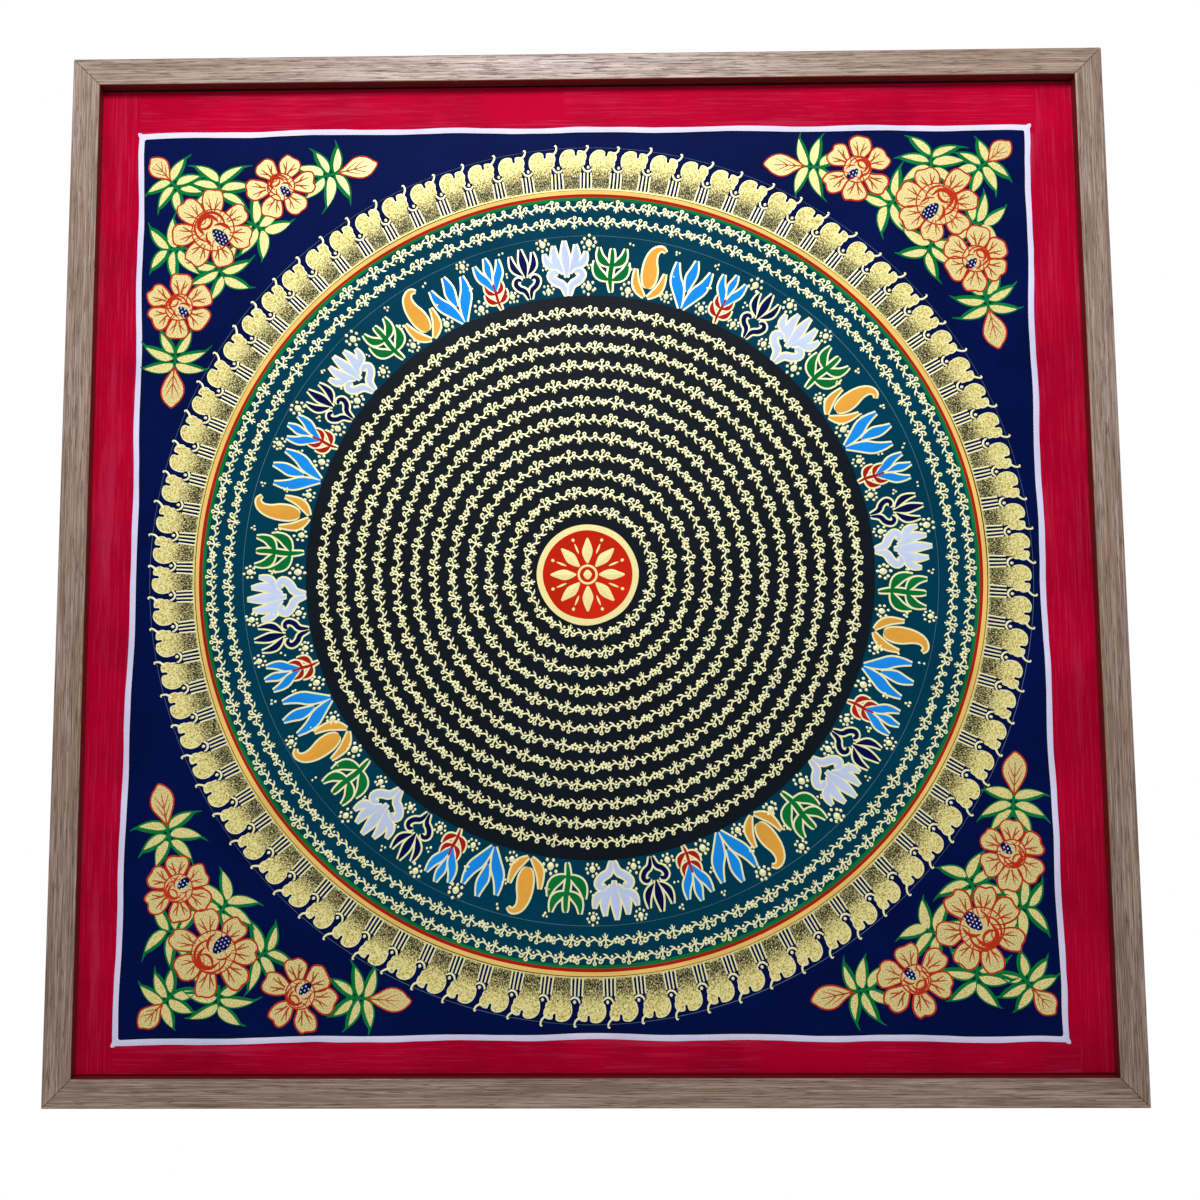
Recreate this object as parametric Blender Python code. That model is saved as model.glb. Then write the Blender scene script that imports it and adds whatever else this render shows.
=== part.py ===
"""Square painted cloth in a slim mitred wooden frame, hung upright on a wall.

Metres, +Z up.  The picture faces -Y and the wall is on the +Y side.  The origin is where
the frame bears on its wall hook: the middle of the ledge under the top rail, behind the
backing board.  X runs to the right as seen by someone looking at the picture.
"""

import math

import bmesh
import bpy

# Outer size of the frame.
FRAME_WIDTH = 0.600
FRAME_HEIGHT = 0.598
FRAME_DEPTH = 0.026

# Section of the moulding: a face that shows at the front, a lip over the cloth's edge and
# a thinner wall behind it.
FACE_WIDTH = 0.016
LIP_DEPTH = 0.008
WALL_THICKNESS = 0.010
OUTER_EDGE_RADIUS = 0.0010
INNER_EDGE_RADIUS = 0.0006
EDGE_SEGMENTS = 4

# What lies in the rebate.
CLOTH_THICKNESS = 0.0010
BOARD_THICKNESS = 0.0030

# Clearances between neighbours.
SEAT_GAP = 0.0003
MITRE_GAP = 0.0003

# Depths, measured from the front face towards the wall.
CLOTH_FRONT = LIP_DEPTH + SEAT_GAP
BOARD_FRONT = CLOTH_FRONT + CLOTH_THICKNESS + SEAT_GAP
BOARD_BACK = BOARD_FRONT + BOARD_THICKNESS

# The origin sits half way along the hanging ledge, which runs from the board to the back.
LEDGE_MIDDLE = (BOARD_BACK + FRAME_DEPTH) / 2
FRONT_Y = -LEDGE_MIDDLE
CENTRE_Z = WALL_THICKNESS - FRAME_HEIGHT / 2

# Clear space between the rails' walls, which holds the cloth and the board.
REBATE_WIDTH = FRAME_WIDTH - 2 * WALL_THICKNESS
REBATE_HEIGHT = FRAME_HEIGHT - 2 * WALL_THICKNESS

WOOD_COLOUR = (0.262, 0.181, 0.144)
CLOTH_COLOUR = (0.404, 0.008, 0.034)
BOARD_COLOUR = (0.238, 0.156, 0.089)


def clear_scene():
    """Remove every object that the file opened with."""
    for item in list(bpy.data.objects):
        bpy.data.objects.remove(item, do_unlink=True)


def make_material(name, colour, roughness):
    """A plain Principled material of one colour."""
    material = bpy.data.materials.new(name)
    material.use_nodes = True
    shader = material.node_tree.nodes["Principled BSDF"]
    shader.inputs["Base Color"].default_value = (*colour, 1.0)
    shader.inputs["Roughness"].default_value = roughness
    shader.inputs["Metallic"].default_value = 0.0
    return material


def add_object(name, bm, material):
    """Turn a bmesh into an object with its faces pointing out."""
    bmesh.ops.recalc_face_normals(bm, faces=bm.faces)
    mesh = bpy.data.meshes.new(name)
    bm.to_mesh(mesh)
    bm.free()
    mesh.materials.append(material)
    item = bpy.data.objects.new(name, mesh)
    bpy.context.collection.objects.link(item)
    return item


def quarter_arc(centre, radius, start):
    """Points of a rounded edge in the section, a quarter turn on from the start angle."""
    points = []
    for step in range(EDGE_SEGMENTS + 1):
        angle = start + math.pi / 2 * step / EDGE_SEGMENTS
        points.append((centre[0] + radius * math.cos(angle), centre[1] + radius * math.sin(angle)))
    return points


def rail_section():
    """Outline of the moulding as (distance in from the outer edge, depth from the front)."""
    outer = (OUTER_EDGE_RADIUS, OUTER_EDGE_RADIUS)
    inner = (FACE_WIDTH - INNER_EDGE_RADIUS, INNER_EDGE_RADIUS)
    outline = quarter_arc(outer, OUTER_EDGE_RADIUS, math.pi)
    outline += quarter_arc(inner, INNER_EDGE_RADIUS, 1.5 * math.pi)
    outline.append((FACE_WIDTH, LIP_DEPTH))
    outline.append((WALL_THICKNESS, LIP_DEPTH))
    outline.append((WALL_THICKNESS, FRAME_DEPTH))
    outline.append((0.0, FRAME_DEPTH))
    return outline


def make_rail(name, length, across, turn, material):
    """One mitred rail of the given outer length, turned about Y to its side of the frame.

    Before the turn the rail is the top one: it runs along X, and its outer edge lies half
    of `across` above the frame's centre.
    """
    bm = bmesh.new()
    shortening = MITRE_GAP / math.sqrt(2)
    rings = []
    for side in (-1, 1):
        ring = []
        for inset, depth in rail_section():
            reach = length / 2 - shortening - inset
            ring.append(bm.verts.new((side * reach, depth, across / 2 - inset)))
        rings.append(ring)
    count = len(rings[0])
    for index in range(count):
        following = (index + 1) % count
        bm.faces.new((rings[0][index], rings[0][following], rings[1][following], rings[1][index]))
    bm.faces.new(rings[0])
    bm.faces.new(reversed(rings[1]))
    rail = add_object(name, bm, material)
    rail.location = (0.0, FRONT_Y, CENTRE_Z)
    rail.rotation_euler = (0.0, turn, 0.0)
    return rail


def make_sheet(name, front, thickness, material):
    """A flat sheet that fills the rebate, a seating gap clear of the rails all round."""
    bm = bmesh.new()
    bmesh.ops.create_cube(bm, size=1.0)
    size = (REBATE_WIDTH - 2 * SEAT_GAP, thickness, REBATE_HEIGHT - 2 * SEAT_GAP)
    bmesh.ops.scale(bm, vec=size, verts=bm.verts)
    sheet = add_object(name, bm, material)
    sheet.location = (0.0, FRONT_Y + front + thickness / 2, CENTRE_Z)
    return sheet


def make_frame():
    """The four mitred rails: the long ones above and below, the others at the sides."""
    wood = make_material("frame_wood", WOOD_COLOUR, 0.55)
    make_rail("frame_top", FRAME_WIDTH, FRAME_HEIGHT, 0.0, wood)
    make_rail("frame_right", FRAME_HEIGHT, FRAME_WIDTH, math.pi / 2, wood)
    make_rail("frame_bottom", FRAME_WIDTH, FRAME_HEIGHT, math.pi, wood)
    make_rail("frame_left", FRAME_HEIGHT, FRAME_WIDTH, -math.pi / 2, wood)


def make_picture():
    """The painted cloth and the board that carries it, both held behind the lip."""
    cloth = make_material("painted_cotton", CLOTH_COLOUR, 0.75)
    board = make_material("backing_fibreboard", BOARD_COLOUR, 0.85)
    make_sheet("painted_cloth", CLOTH_FRONT, CLOTH_THICKNESS, cloth)
    make_sheet("backing_board", BOARD_FRONT, BOARD_THICKNESS, board)


def main():
    clear_scene()
    make_frame()
    make_picture()


main()
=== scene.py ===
"""Looks of a painted cotton cloth in a slim wooden frame.

The frame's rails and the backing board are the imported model's own.  The cloth, its paint
and its gold ornament are made here.  Artwork is drawn flat, in millimetres, with X to the
right and Y up from the cloth's centre, and then hung against the cloth's front face.
"""

import math
import random
from collections import defaultdict, namedtuple

import bpy
import numpy as np
from mathutils import Matrix, Vector


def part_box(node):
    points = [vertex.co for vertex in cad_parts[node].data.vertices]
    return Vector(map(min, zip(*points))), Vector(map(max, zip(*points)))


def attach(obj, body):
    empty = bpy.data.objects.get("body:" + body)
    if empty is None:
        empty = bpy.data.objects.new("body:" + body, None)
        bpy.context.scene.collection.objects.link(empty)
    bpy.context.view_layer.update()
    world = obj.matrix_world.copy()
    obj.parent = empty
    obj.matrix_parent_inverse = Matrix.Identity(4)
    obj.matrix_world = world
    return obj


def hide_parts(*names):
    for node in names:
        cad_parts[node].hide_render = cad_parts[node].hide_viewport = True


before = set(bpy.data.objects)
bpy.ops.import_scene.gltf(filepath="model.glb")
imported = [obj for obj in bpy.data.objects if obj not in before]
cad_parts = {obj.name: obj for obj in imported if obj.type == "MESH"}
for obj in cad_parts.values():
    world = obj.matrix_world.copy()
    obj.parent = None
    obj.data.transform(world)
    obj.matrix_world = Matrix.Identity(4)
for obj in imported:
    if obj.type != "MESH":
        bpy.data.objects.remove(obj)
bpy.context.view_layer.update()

bl_info = {
    "name": "Painted Cloth in a Frame",
    "version": (1, 0, 0),
    "blender": (4, 5, 0),
    "location": "View3D > Sidebar > Painted Cloth",
    "description": "Dresses a framed cloth with its wood, its paint and its gold ornament",
    "category": "Object",
}

MM = 0.001

CLOTH_LOW, CLOTH_HIGH = (Vector(corner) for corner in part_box("painted_cloth"))
CLOTH_SIZE = CLOTH_HIGH - CLOTH_LOW
CLOTH_CENTRE = (CLOTH_LOW + CLOTH_HIGH) / 2

# Artwork to world: millimetres become metres, Y becomes up and Z comes out of the cloth.
HANG = (
    Matrix.Translation((CLOTH_CENTRE.x, CLOTH_LOW.y, CLOTH_CENTRE.z))
    @ Matrix.Rotation(math.pi / 2, 4, "X")
    @ Matrix.Scale(MM, 4)
)

# Points this close are one: the edges of a film's faces and its sides, for instance.
MERGE_REACH = 0.001 * MM
# Thickness of a filled outline in mm, and the heights at which such films lie in turn, so
# that two which overlap share no face.
FILM = 0.02
FILM_STEP = 0.0035
FILM_STEPS = 9
# Corners of a disc, and how far its edge wavers in mm.
DISC_SIDES = 288
DISC_WAVER = 0.22
HEART_WAVER = 0.3
# Squares of the cloth's own mesh and of a brushed bar's, along each side.
CLOTH_SQUARES = 24
BAR_SQUARES = 10
# Past this share of its size from its middle, a corner of a bar lies on the bar's edge.
BAR_EDGE = 0.49
# Round of the cloth's edges in mm.
CLOTH_ROUND = 0.25

# Seeds of the random draws, so that every run paints the same picture.
BORDER_SEED = 11
PETAL_SEED = 7
MOTIF_SEED = 5
FIRST_DISC_SEED = 20
HEART_RIM_SEED = 31
HEART_SEED = 32

# A piece of paint: its paint, its height above the cloth in mm and, if it is made of
# strokes, their height as a share of their width and the steps between control points.
# Real layers are thinner: these heights keep one clear of the next.
Piece = namedtuple("Piece", "paint level relief steps", defaults=(None, 2))
PIECES = {
    "border_left": Piece("crimson_gouache_upright", 0.03),
    "border_right": Piece("crimson_gouache_upright", 0.03),
    "border_top": Piece("crimson_gouache_level", 0.045),
    "border_bottom": Piece("crimson_gouache_level", 0.045),
    "overlap_top_a": Piece("crimson_gouache_twice", 0.053),
    "overlap_top_b": Piece("crimson_gouache_twice", 0.053),
    "overlap_bottom": Piece("crimson_gouache_twice", 0.053),
    # Painted shadow: dark strips of cloth along the top and foot lips of the rebate.
    "rebate_shadow_top": Piece("grime_black", 0.057),
    "rebate_shadow_foot": Piece("grime_crimson", 0.057),
    "navy_field": Piece("navy_gouache", 0.05),
    "edge_line": Piece("black_edge_gouache", 0.06, 0.05),
    "pale_line": Piece("lavender_gouache", 0.07, 0.03),
    "petal_ground": Piece("stippled_gold", 0.07),
    "rim": Piece("gold_band_paint", 0.075),
    "rim_line": Piece("ink_line", 0.0775),
    "orange_band": Piece("amber_gouache", 0.08),
    "red_band": Piece("carmine_gouache", 0.085),
    "green_band": Piece("green_gouache", 0.09),
    "teal_ring": Piece("teal_gouache", 0.095),
    "black_disc": Piece("black_gouache", 0.10),
    "heart_rim": Piece("gold_heart_paint", 0.11),
    "heart": Piece("scarlet_gouache", 0.12),
    "compass_lines": Piece("chalk_line", 0.10, 0.06, 3),
    "petal_bodies": Piece("stippled_gold", 0.075),
    "petal_gaps": Piece("navy_gouache", 0.075),
    "petal_shades": Piece("navy_gouache", 0.11, 0.03),
    "petal_edges": Piece("gold_petal_line_paint", 0.12, 0.08),
    "petal_lines": Piece("gold_petal_line_paint", 0.12, 0.10),
    "motif_edges": Piece("gold_line_paint", 0.10, 0.018, 3),
    "rosettes": Piece("gold_line_paint", 0.10, 0.12),
    "motifs_pearl": Piece("pearl_gouache", 0.15, 0.02, 3),
    "motifs_green": Piece("green_gouache", 0.15, 0.02, 3),
    "motifs_orange": Piece("orange_gouache", 0.15, 0.02, 3),
    "motifs_blue": Piece("sky_gouache", 0.15, 0.02, 3),
    "motifs_red": Piece("carmine_gouache", 0.15, 0.02, 3),
    "motifs_navy": Piece("navy_gouache", 0.15, 0.02, 3),
    "vine_inner": Piece("gold_vine_paint", 0.10, 0.10),
    "vine_outer": Piece("gold_vine_paint", 0.10, 0.10),
    "vine_teal": Piece("gold_vine_paint", 0.10, 0.10),
    "heart_lotus": Piece("gold_heart_paint", 0.12, 0.03, 3),
    "leaf_fills": Piece("leaf_gold_paint", 0.08),
    "leaf_lines": Piece("leaf_line_gouache", 0.095, 0.02, 3),
    "flower_fills": Piece("blossom_gold_paint", 0.15),
    "flower_lines": Piece("vermilion_gouache", 0.17, 0.10),
    "flower_veins": Piece("vein_gouache", 0.17, 0.10),
    "bloom_fills": Piece("blossom_gold_paint", 0.19),
    "bloom_lines": Piece("vermilion_gouache", 0.21, 0.10),
    "bloom_hearts": Piece("navy_gouache", 0.23),
    "bloom_dots": Piece("pearl_gouache", 0.25, 0.10),
}


# ---------------------------------------------------------------- settings

# Property, label, description and default, here in metres.
LENGTHS = (
    ("heart_radius", "Heart", "Radius of the red disc", 0.0253),
    ("heart_rim", "Heart rim", "Radius of the gold disc under the red one", 0.0288),
    ("black_radius", "Black disc", "Radius of the disc that holds most gold rows", 0.1614),
    ("teal_radius", "Teal ring", "Outer radius of the blue-green ring", 0.2184),
    ("green_radius", "Green band", "Outer radius of the green band", 0.2204),
    ("red_radius", "Red band", "Outer radius of the red band", 0.2222),
    ("orange_radius", "Orange band", "Outer radius of the orange-yellow band", 0.2245),
    ("petal_foot", "Petal foot", "Radius where the solid gold of a petal begins", 0.2370),
    ("first_row", "First row", "Radius of the innermost gold row", 0.0355),
    ("row_pitch", "Row pitch", "Distance from one gold row to the next", 0.01055),
    ("repeat", "Repeat", "Length of one repeat of the vine along its row", 0.0380),
)
# The same, and the least that makes sense.
COUNTS = (
    ("petals", "Petals", "Petals round the mandala", 85, 3),
    ("rows", "Rows", "Gold rows on the black disc", 12, 1),
    ("groups", "Groups", "Groups of six coloured motifs", 8, 1),
)
COLOURS = (
    ("wood", "Wood", "Body of the wood", "#866C5C"),
    ("wood_light", "Wood, light", "Scuffed fibres", "#B9A79D"),
    ("wood_dark", "Wood, dark", "Open pores", "#523D30"),
    # Painted shade and painted red reflection for the lip's inner wall.
    ("wash", "Wash", "Dark wash on the lip's inner wall", "#5C1612"),
    ("board", "Board", "Fibreboard", "#8A6B4B"),
    ("cotton", "Cotton", "Primed cotton at the edges and back", "#D9D0BD"),
    ("crimson", "Crimson", "Paint of the border", "#B4002C"),
    ("crimson_thin", "Crimson, thin", "Border where the brush ran dry", "#D2456E"),
    # Painted shadow: the dark crimson of the strip of cloth that the foot's lip shades.
    ("dusk", "Crimson, soiled", "Border along the foot of the rebate", "#64000F"),
    ("lavender", "Lavender", "Paint of the square line", "#DAD7F6"),
    ("navy", "Navy", "Paint of the field", "#031147"),
    ("teal", "Teal", "Paint of the blue-green ring", "#003B51"),
    ("black", "Black", "Paint of the black disc", "#0B141D"),
    ("gold_light", "Gold, thick", "Gold paint where it stands thick", "#FFFBC2"),
    ("gold", "Gold", "Gold paint", "#F2E694"),
    ("gold_dark", "Gold, thin", "Gold paint where it is thin", "#AE944E"),
    ("heart_gold", "Gold, heart", "Rim and lotus of the heart", "#FFF3AC"),
    ("blossom", "Blossom", "Warmer gold of the flowers", "#F8ECA2"),
    ("blossom_dark", "Blossom, thin", "Gold of the flowers where it is thin", "#B98F4A"),
    ("leaf_gold", "Leaf gold", "Gold of the leaves", "#FCF0A0"),
    ("leaf_green", "Leaf green", "Outlines of the leaves", "#0B783A"),
    ("vermilion", "Vermilion", "Outlines of the flowers", "#BC331A"),
    ("umber", "Umber", "Veins of the flowers and buds", "#B2492A"),
    ("scarlet", "Scarlet", "Heart disc", "#CC260F"),
    ("carmine", "Carmine", "Red band and red motifs", "#AE1E1C"),
    ("amber", "Amber", "Band outside the red one", "#F3C76C"),
    ("orange", "Orange-yellow", "Motifs", "#EBA843"),
    ("sky", "Sky", "Blue motifs", "#1B8EEA"),
    ("pearl", "Pearl", "White motifs", "#C9D6F4"),
    ("chalk", "Chalk", "Circles that set out the rings", "#748C92"),
)


class ClothSizes(bpy.types.PropertyGroup):
    """Sizes of the artwork, measured on the cloth."""

    mandala_centre: bpy.props.FloatVectorProperty(
        name="Mandala centre",
        description="Centre of the rings, right and up from the cloth's centre",
        size=2, default=(0.0006, -0.0056), unit="LENGTH",
    )
    __annotations__.update({
        key: bpy.props.FloatProperty(name=label, description=text, default=value, unit="LENGTH")
        for key, label, text, value in LENGTHS
    })
    __annotations__.update({
        key: bpy.props.IntProperty(name=label, description=text, default=value, min=least)
        for key, label, text, value, least in COUNTS
    })


class ClothColours(bpy.types.PropertyGroup):
    """Paints and materials, as sRGB hex values."""

    __annotations__ = {
        key: bpy.props.StringProperty(name=label, description=text, default=value)
        for key, label, text, value in COLOURS
    }


# ---------------------------------------------------------------- scene helpers


def linear(code):
    """The linear RGBA of an sRGB hex colour."""
    channels = [int(code[start:start + 2], 16) / 255 for start in (1, 3, 5)]
    return (*[c / 12.92 if c <= 0.04045 else ((c + 0.055) / 1.055) ** 2.4 for c in channels], 1.0)


def tone(name, factor=1.0):
    """One of the panel's colours as linear RGBA, made lighter or darker."""
    *channels, alpha = linear(getattr(bpy.context.scene.cloth_colours, name))
    return (*[min(channel * factor, 1.0) for channel in channels], alpha)


def select_only(*items):
    """Select these objects and no others, the first one active."""
    bpy.ops.object.select_all(action="DESELECT")
    for item in items:
        item.select_set(True)
    bpy.context.view_layer.objects.active = items[0]


def apply_place(item):
    """Put an object's place, turn and scale into its mesh."""
    select_only(item)
    bpy.ops.object.transform_apply(location=True, rotation=True, scale=True)


def apply_modifier(item, kind, **settings):
    """Add a modifier with these settings and apply it."""
    select_only(item)
    modifier = item.modifiers.new(kind.title(), kind)
    for name, value in settings.items():
        setattr(modifier, name, value)
    bpy.ops.object.modifier_apply(modifier=modifier.name)


def lay_flat_map(item):
    """A UV map that looks straight at the cloth, so that paint colours bake without seams."""
    mesh = item.data
    corners = np.empty(len(mesh.loops), dtype=np.int32)
    mesh.loops.foreach_get("vertex_index", corners)
    places = np.empty(len(mesh.vertices) * 3)
    mesh.vertices.foreach_get("co", places)
    places = places.reshape(-1, 3)[corners]
    across = (places[:, 0] - CLOTH_LOW.x) / CLOTH_SIZE.x
    up = (places[:, 2] - CLOTH_LOW.z) / CLOTH_SIZE.z
    layer = mesh.uv_layers.new(name="OFBake")
    layer.data.foreach_set("uv", np.column_stack((across, up)).ravel())


def finish_paint(item, name):
    """Hang a flat piece of artwork at its level, give it its paint and let it ride."""
    piece = PIECES[name]
    item.name = name
    item.matrix_world = HANG @ Matrix.Translation((0.0, 0.0, piece.level))
    apply_place(item)
    item.data.materials.clear()
    item.data.materials.append(finish_named(piece.paint))
    while item.data.uv_layers:
        item.data.uv_layers.remove(item.data.uv_layers[0])
    bpy.ops.object.mode_set(mode="EDIT")
    bpy.ops.mesh.select_all(action="SELECT")
    bpy.ops.mesh.remove_doubles(threshold=MERGE_REACH)
    bpy.ops.mesh.normals_make_consistent(inside=False)
    bpy.ops.object.mode_set(mode="OBJECT")
    bpy.ops.object.shade_flat()
    lay_flat_map(item)
    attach(item, "root")


# ---------------------------------------------------------------- node helpers

# Sockets of the Mix node when it mixes colours: it has sets of the same names.
MIX_UNDER, MIX_OVER, MIX_RESULT = 6, 7, 2

# The cotton's threads, in metres, drawn as coarse as real canvas.  The wave texture turns
# this many radians in each unit.
THREAD_SPACING = 0.0006
WAVE_TURN = 20.0

# A coat of colour: size in metres of the noise that places it, the noise's detail, the range
# of the noise over which it comes in, the share that it then covers, its colour and the
# noise's roughness.
Coat = namedtuple("Coat", "size detail low high cover colour roughness", defaults=(0.6,))


def add_node(tree, kind, inputs=None, **settings):
    """Add a shader node with its settings.  Each input is a value, or a socket to link."""
    node = tree.nodes.new(kind)
    for name, value in settings.items():
        setattr(node, name, value)
    for socket, value in (inputs or {}).items():
        if isinstance(value, bpy.types.NodeSocket):
            tree.links.new(value, node.inputs[socket])
        else:
            node.inputs[socket].default_value = value
    return node


def new_material(name, roughness, metallic=0.0, gloss=0.5):
    """A material's tree and Principled shader, and the piece's own coordinates in metres."""
    material = bpy.data.materials.new(name)
    material.use_nodes = True
    tree = material.node_tree
    shader = tree.nodes["Principled BSDF"]
    shader.inputs["Roughness"].default_value = roughness
    shader.inputs["Metallic"].default_value = metallic
    shader.inputs["Specular IOR Level"].default_value = gloss
    place = add_node(tree, "ShaderNodeTexCoord").outputs["Object"]
    return tree, shader, place


def pattern(tree, place, size, detail, roughness=0.6):
    """Noise whose features have this size in metres, one for all or one for each axis."""
    scale = tuple(1.0 / (np.ones(3) * size))
    mapped = add_node(tree, "ShaderNodeMapping", {"Vector": place, "Scale": scale})
    noise = add_node(tree, "ShaderNodeTexNoise", {
        "Vector": mapped.outputs["Vector"], "Scale": 1.0, "Detail": detail,
        "Roughness": roughness,
    })
    return noise.outputs["Fac"]


def spread(mask, low, high, start=0.0, end=1.0):
    """Inputs that stretch a mask from low..high to start..end."""
    return {"Value": mask, "From Min": low, "From Max": high, "To Min": start, "To Max": end}


def lay_over(tree, under, over, *mask):
    """One colour over another where a mask says so; each is a linear RGBA or a socket."""
    share = add_node(tree, "ShaderNodeMapRange", spread(*mask))
    mixed = add_node(tree, "ShaderNodeMix", {
        "Factor": share.outputs["Result"], MIX_UNDER: under, MIX_OVER: over,
    }, data_type="RGBA")
    return mixed.outputs[MIX_RESULT]


def lay_coats(tree, place, colour, *coats):
    """The colour after these coats, and the noise that placed each."""
    noises = []
    for coat in coats:
        noise = pattern(tree, place, coat.size, coat.detail, coat.roughness)
        colour = lay_over(tree, colour, coat.colour, noise, coat.low, coat.high, 0.0, coat.cover)
        noises.append(noise)
    return colour, noises


def dress(tree, shader, colour, *reliefs):
    """Give a shader its colour and its relief: heights, each with its depth in metres."""
    tree.links.new(colour, shader.inputs["Base Color"])
    below = {}
    for height, depth in reliefs:
        bump = add_node(tree, "ShaderNodeBump",
                        {"Height": height, "Strength": 1.0, "Distance": depth, **below})
        below = {"Normal": bump.outputs["Normal"]}
    tree.links.new(bump.outputs["Normal"], shader.inputs["Normal"])


def weave(tree, place):
    """Height of the plain weave of the cotton, which shows through every coat of paint."""
    inputs = {
        "Vector": place, "Scale": math.tau / WAVE_TURN / THREAD_SPACING, "Distortion": 1.2,
        "Detail": 1.0, "Detail Scale": 40.0,
    }
    warp, weft = (
        add_node(tree, "ShaderNodeTexWave", inputs, wave_type="BANDS", bands_direction=along,
                 wave_profile="SIN").outputs["Fac"]
        for along in ("X", "Z")
    )
    woven = add_node(tree, "ShaderNodeMath", {0: warp, 1: weft}, operation="MULTIPLY")
    return woven.outputs["Value"]


def lengthwise(along, length, width):
    """The size of a mark that runs along X or Z."""
    return (length, width, width) if along == "X" else (width, width, length)


# ---------------------------------------------------------------- materials

# Noise values over which a pore of the wood opens, and the share of its depth and colour.
PORE_EDGE = (0.58, 0.66)
PORE_COVER = 0.75
# Metres past the rail's inner edge over which its face turns into the wall of the lip, which carries
# painted shade.
LIP_TURN = (0.0001, 0.0004)

# Depths of the weave in metres, bare and under paint.
BARE_WEAVE = 0.00008
PAINTED_WEAVE = 0.00002
GOUACHE_GLOSS = 0.02
# Length and width in metres of the marks that a wide flat brush leaves.
BRUSH_MARKS = ((0.16, 0.010), (0.08, 0.0016), (0.03, 0.0007))
# How sharply grains of gold end, in noise values.
GRAIN_EDGE = 0.14

# Radii in metres between which the stipple changes, then, by the share of the way out, how
# much gold there is.
STIPPLE_REACH = (0.2250, 0.2430)
STIPPLE = (
    (0.0, 0.53), (0.10, 0.49), (0.20, 0.465), (0.33, 0.475), (0.47, 0.505), (0.61, 0.56),
    (0.78, 0.62), (1.0, 0.71),
)
# Radius in metres at which the dots of the stipple have their true size.
STIPPLE_RADIUS = 0.233


def oak(name, along):
    """Open-pored oak-like hardwood under a thin matt finish, its grain along one axis.

    The eye sees short dark pores, pale scuffed fibres and a soft broad highlight.  The lip's
    inner wall is dark red-brown: painted shade and painted reflection of the red cloth.
    """
    tree, shader, place = new_material(name, 0.40)
    colour, (_, scuffs, fibres, pores) = lay_coats(
        tree, place, tone("wood", 1.16),
        Coat(lengthwise(along, 0.120, 0.0040), 4.0, 0.38, 0.62, 1.0, tone("wood", 0.80)),
        Coat(lengthwise(along, 0.070, 0.0014), 5.0, 0.50, 0.68, 0.70, tone("wood_light"), 0.65),
        Coat(lengthwise(along, 0.034, 0.0005), 2.0, 0.50, 0.66, 0.55, tone("wood_light", 1.15)),
        Coat(lengthwise(along, 0.016, 0.0006), 2.0, *PORE_EDGE, PORE_COVER, tone("wood_dark")),
    )
    distance, edge = from_the_middle(tree, place, along)
    face_end, wall_start = (edge + step for step in LIP_TURN)
    # Painted shade and painted red reflection: the lip's inner wall turns dark red-brown.
    colour = lay_over(tree, colour, tone("wash"), distance, face_end, wall_start, 1.0, 0.0)
    shine = add_node(tree, "ShaderNodeMapRange", spread(scuffs, 0.3, 0.8, 0.50, 0.30))
    tree.links.new(shine.outputs["Result"], shader.inputs["Roughness"])
    grain = add_node(tree, "ShaderNodeMapRange", spread(pores, *PORE_EDGE, 1.0, 1.0 - PORE_COVER))
    dress(tree, shader, colour, (grain.outputs["Result"], 0.00018), (fibres, 0.00006))


def from_the_middle(tree, place, along):
    """Distance from the middle of the opening, across the rails, and where their lips end."""
    first, last, axis = {
        "X": (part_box("frame_bottom")[1][2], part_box("frame_top")[0][2], "Z"),
        "Z": (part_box("frame_left")[1][0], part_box("frame_right")[0][0], "X"),
    }[along]
    across = add_node(tree, "ShaderNodeSeparateXYZ", {"Vector": place}).outputs[axis]
    offset = add_node(
        tree, "ShaderNodeMath", {0: across, 1: (first + last) / 2}, operation="SUBTRACT",
    )
    distance = add_node(
        tree, "ShaderNodeMath", {0: offset.outputs["Value"]}, operation="ABSOLUTE",
    )
    return distance.outputs["Value"], (last - first) / 2


def fibreboard(name):
    """Raw fibreboard: brown, dusty, with short pale and dark fibres pressed every way."""
    tree, shader, place = new_material(name, 0.85)
    colour, (specks, _) = lay_coats(
        tree, place, tone("board", 0.72),
        Coat(0.0012, 4.0, 0.35, 0.65, 1.0, tone("board", 1.2)),
        Coat(0.05, 2.0, 0.4, 0.6, 0.4, tone("board", 0.85)),
    )
    dress(tree, shader, colour, (specks, 0.00012))


def primed_cotton(name):
    """Primed cotton: chalky off-white with its weave still open."""
    tree, shader, place = new_material(name, 0.9)
    colour, _ = lay_coats(
        tree, place, tone("cotton"), Coat(0.03, 3.0, 0.35, 0.65, 1.0, tone("cotton", 0.85)),
    )
    dress(tree, shader, colour, (weave(tree, place), BARE_WEAVE))


def gouache(name, paint, light=1.2, dark=0.85, roughness=0.62, gloss=GOUACHE_GLOSS):
    """Gum-bound paint brushed thin on cotton: matt, cloudy, with the weave under it."""
    tree, shader, place = new_material(name, roughness, gloss=gloss)
    colour, _ = lay_coats(
        tree, place, tone(paint, dark),
        Coat(0.045, 4.0, 0.3, 0.7, 1.0, tone(paint, 1.1)),
        Coat(0.0016, 2.0, 0.55, 0.8, 0.5, tone(paint, light)),
    )
    dress(tree, shader, colour, (weave(tree, place), PAINTED_WEAVE))


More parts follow.
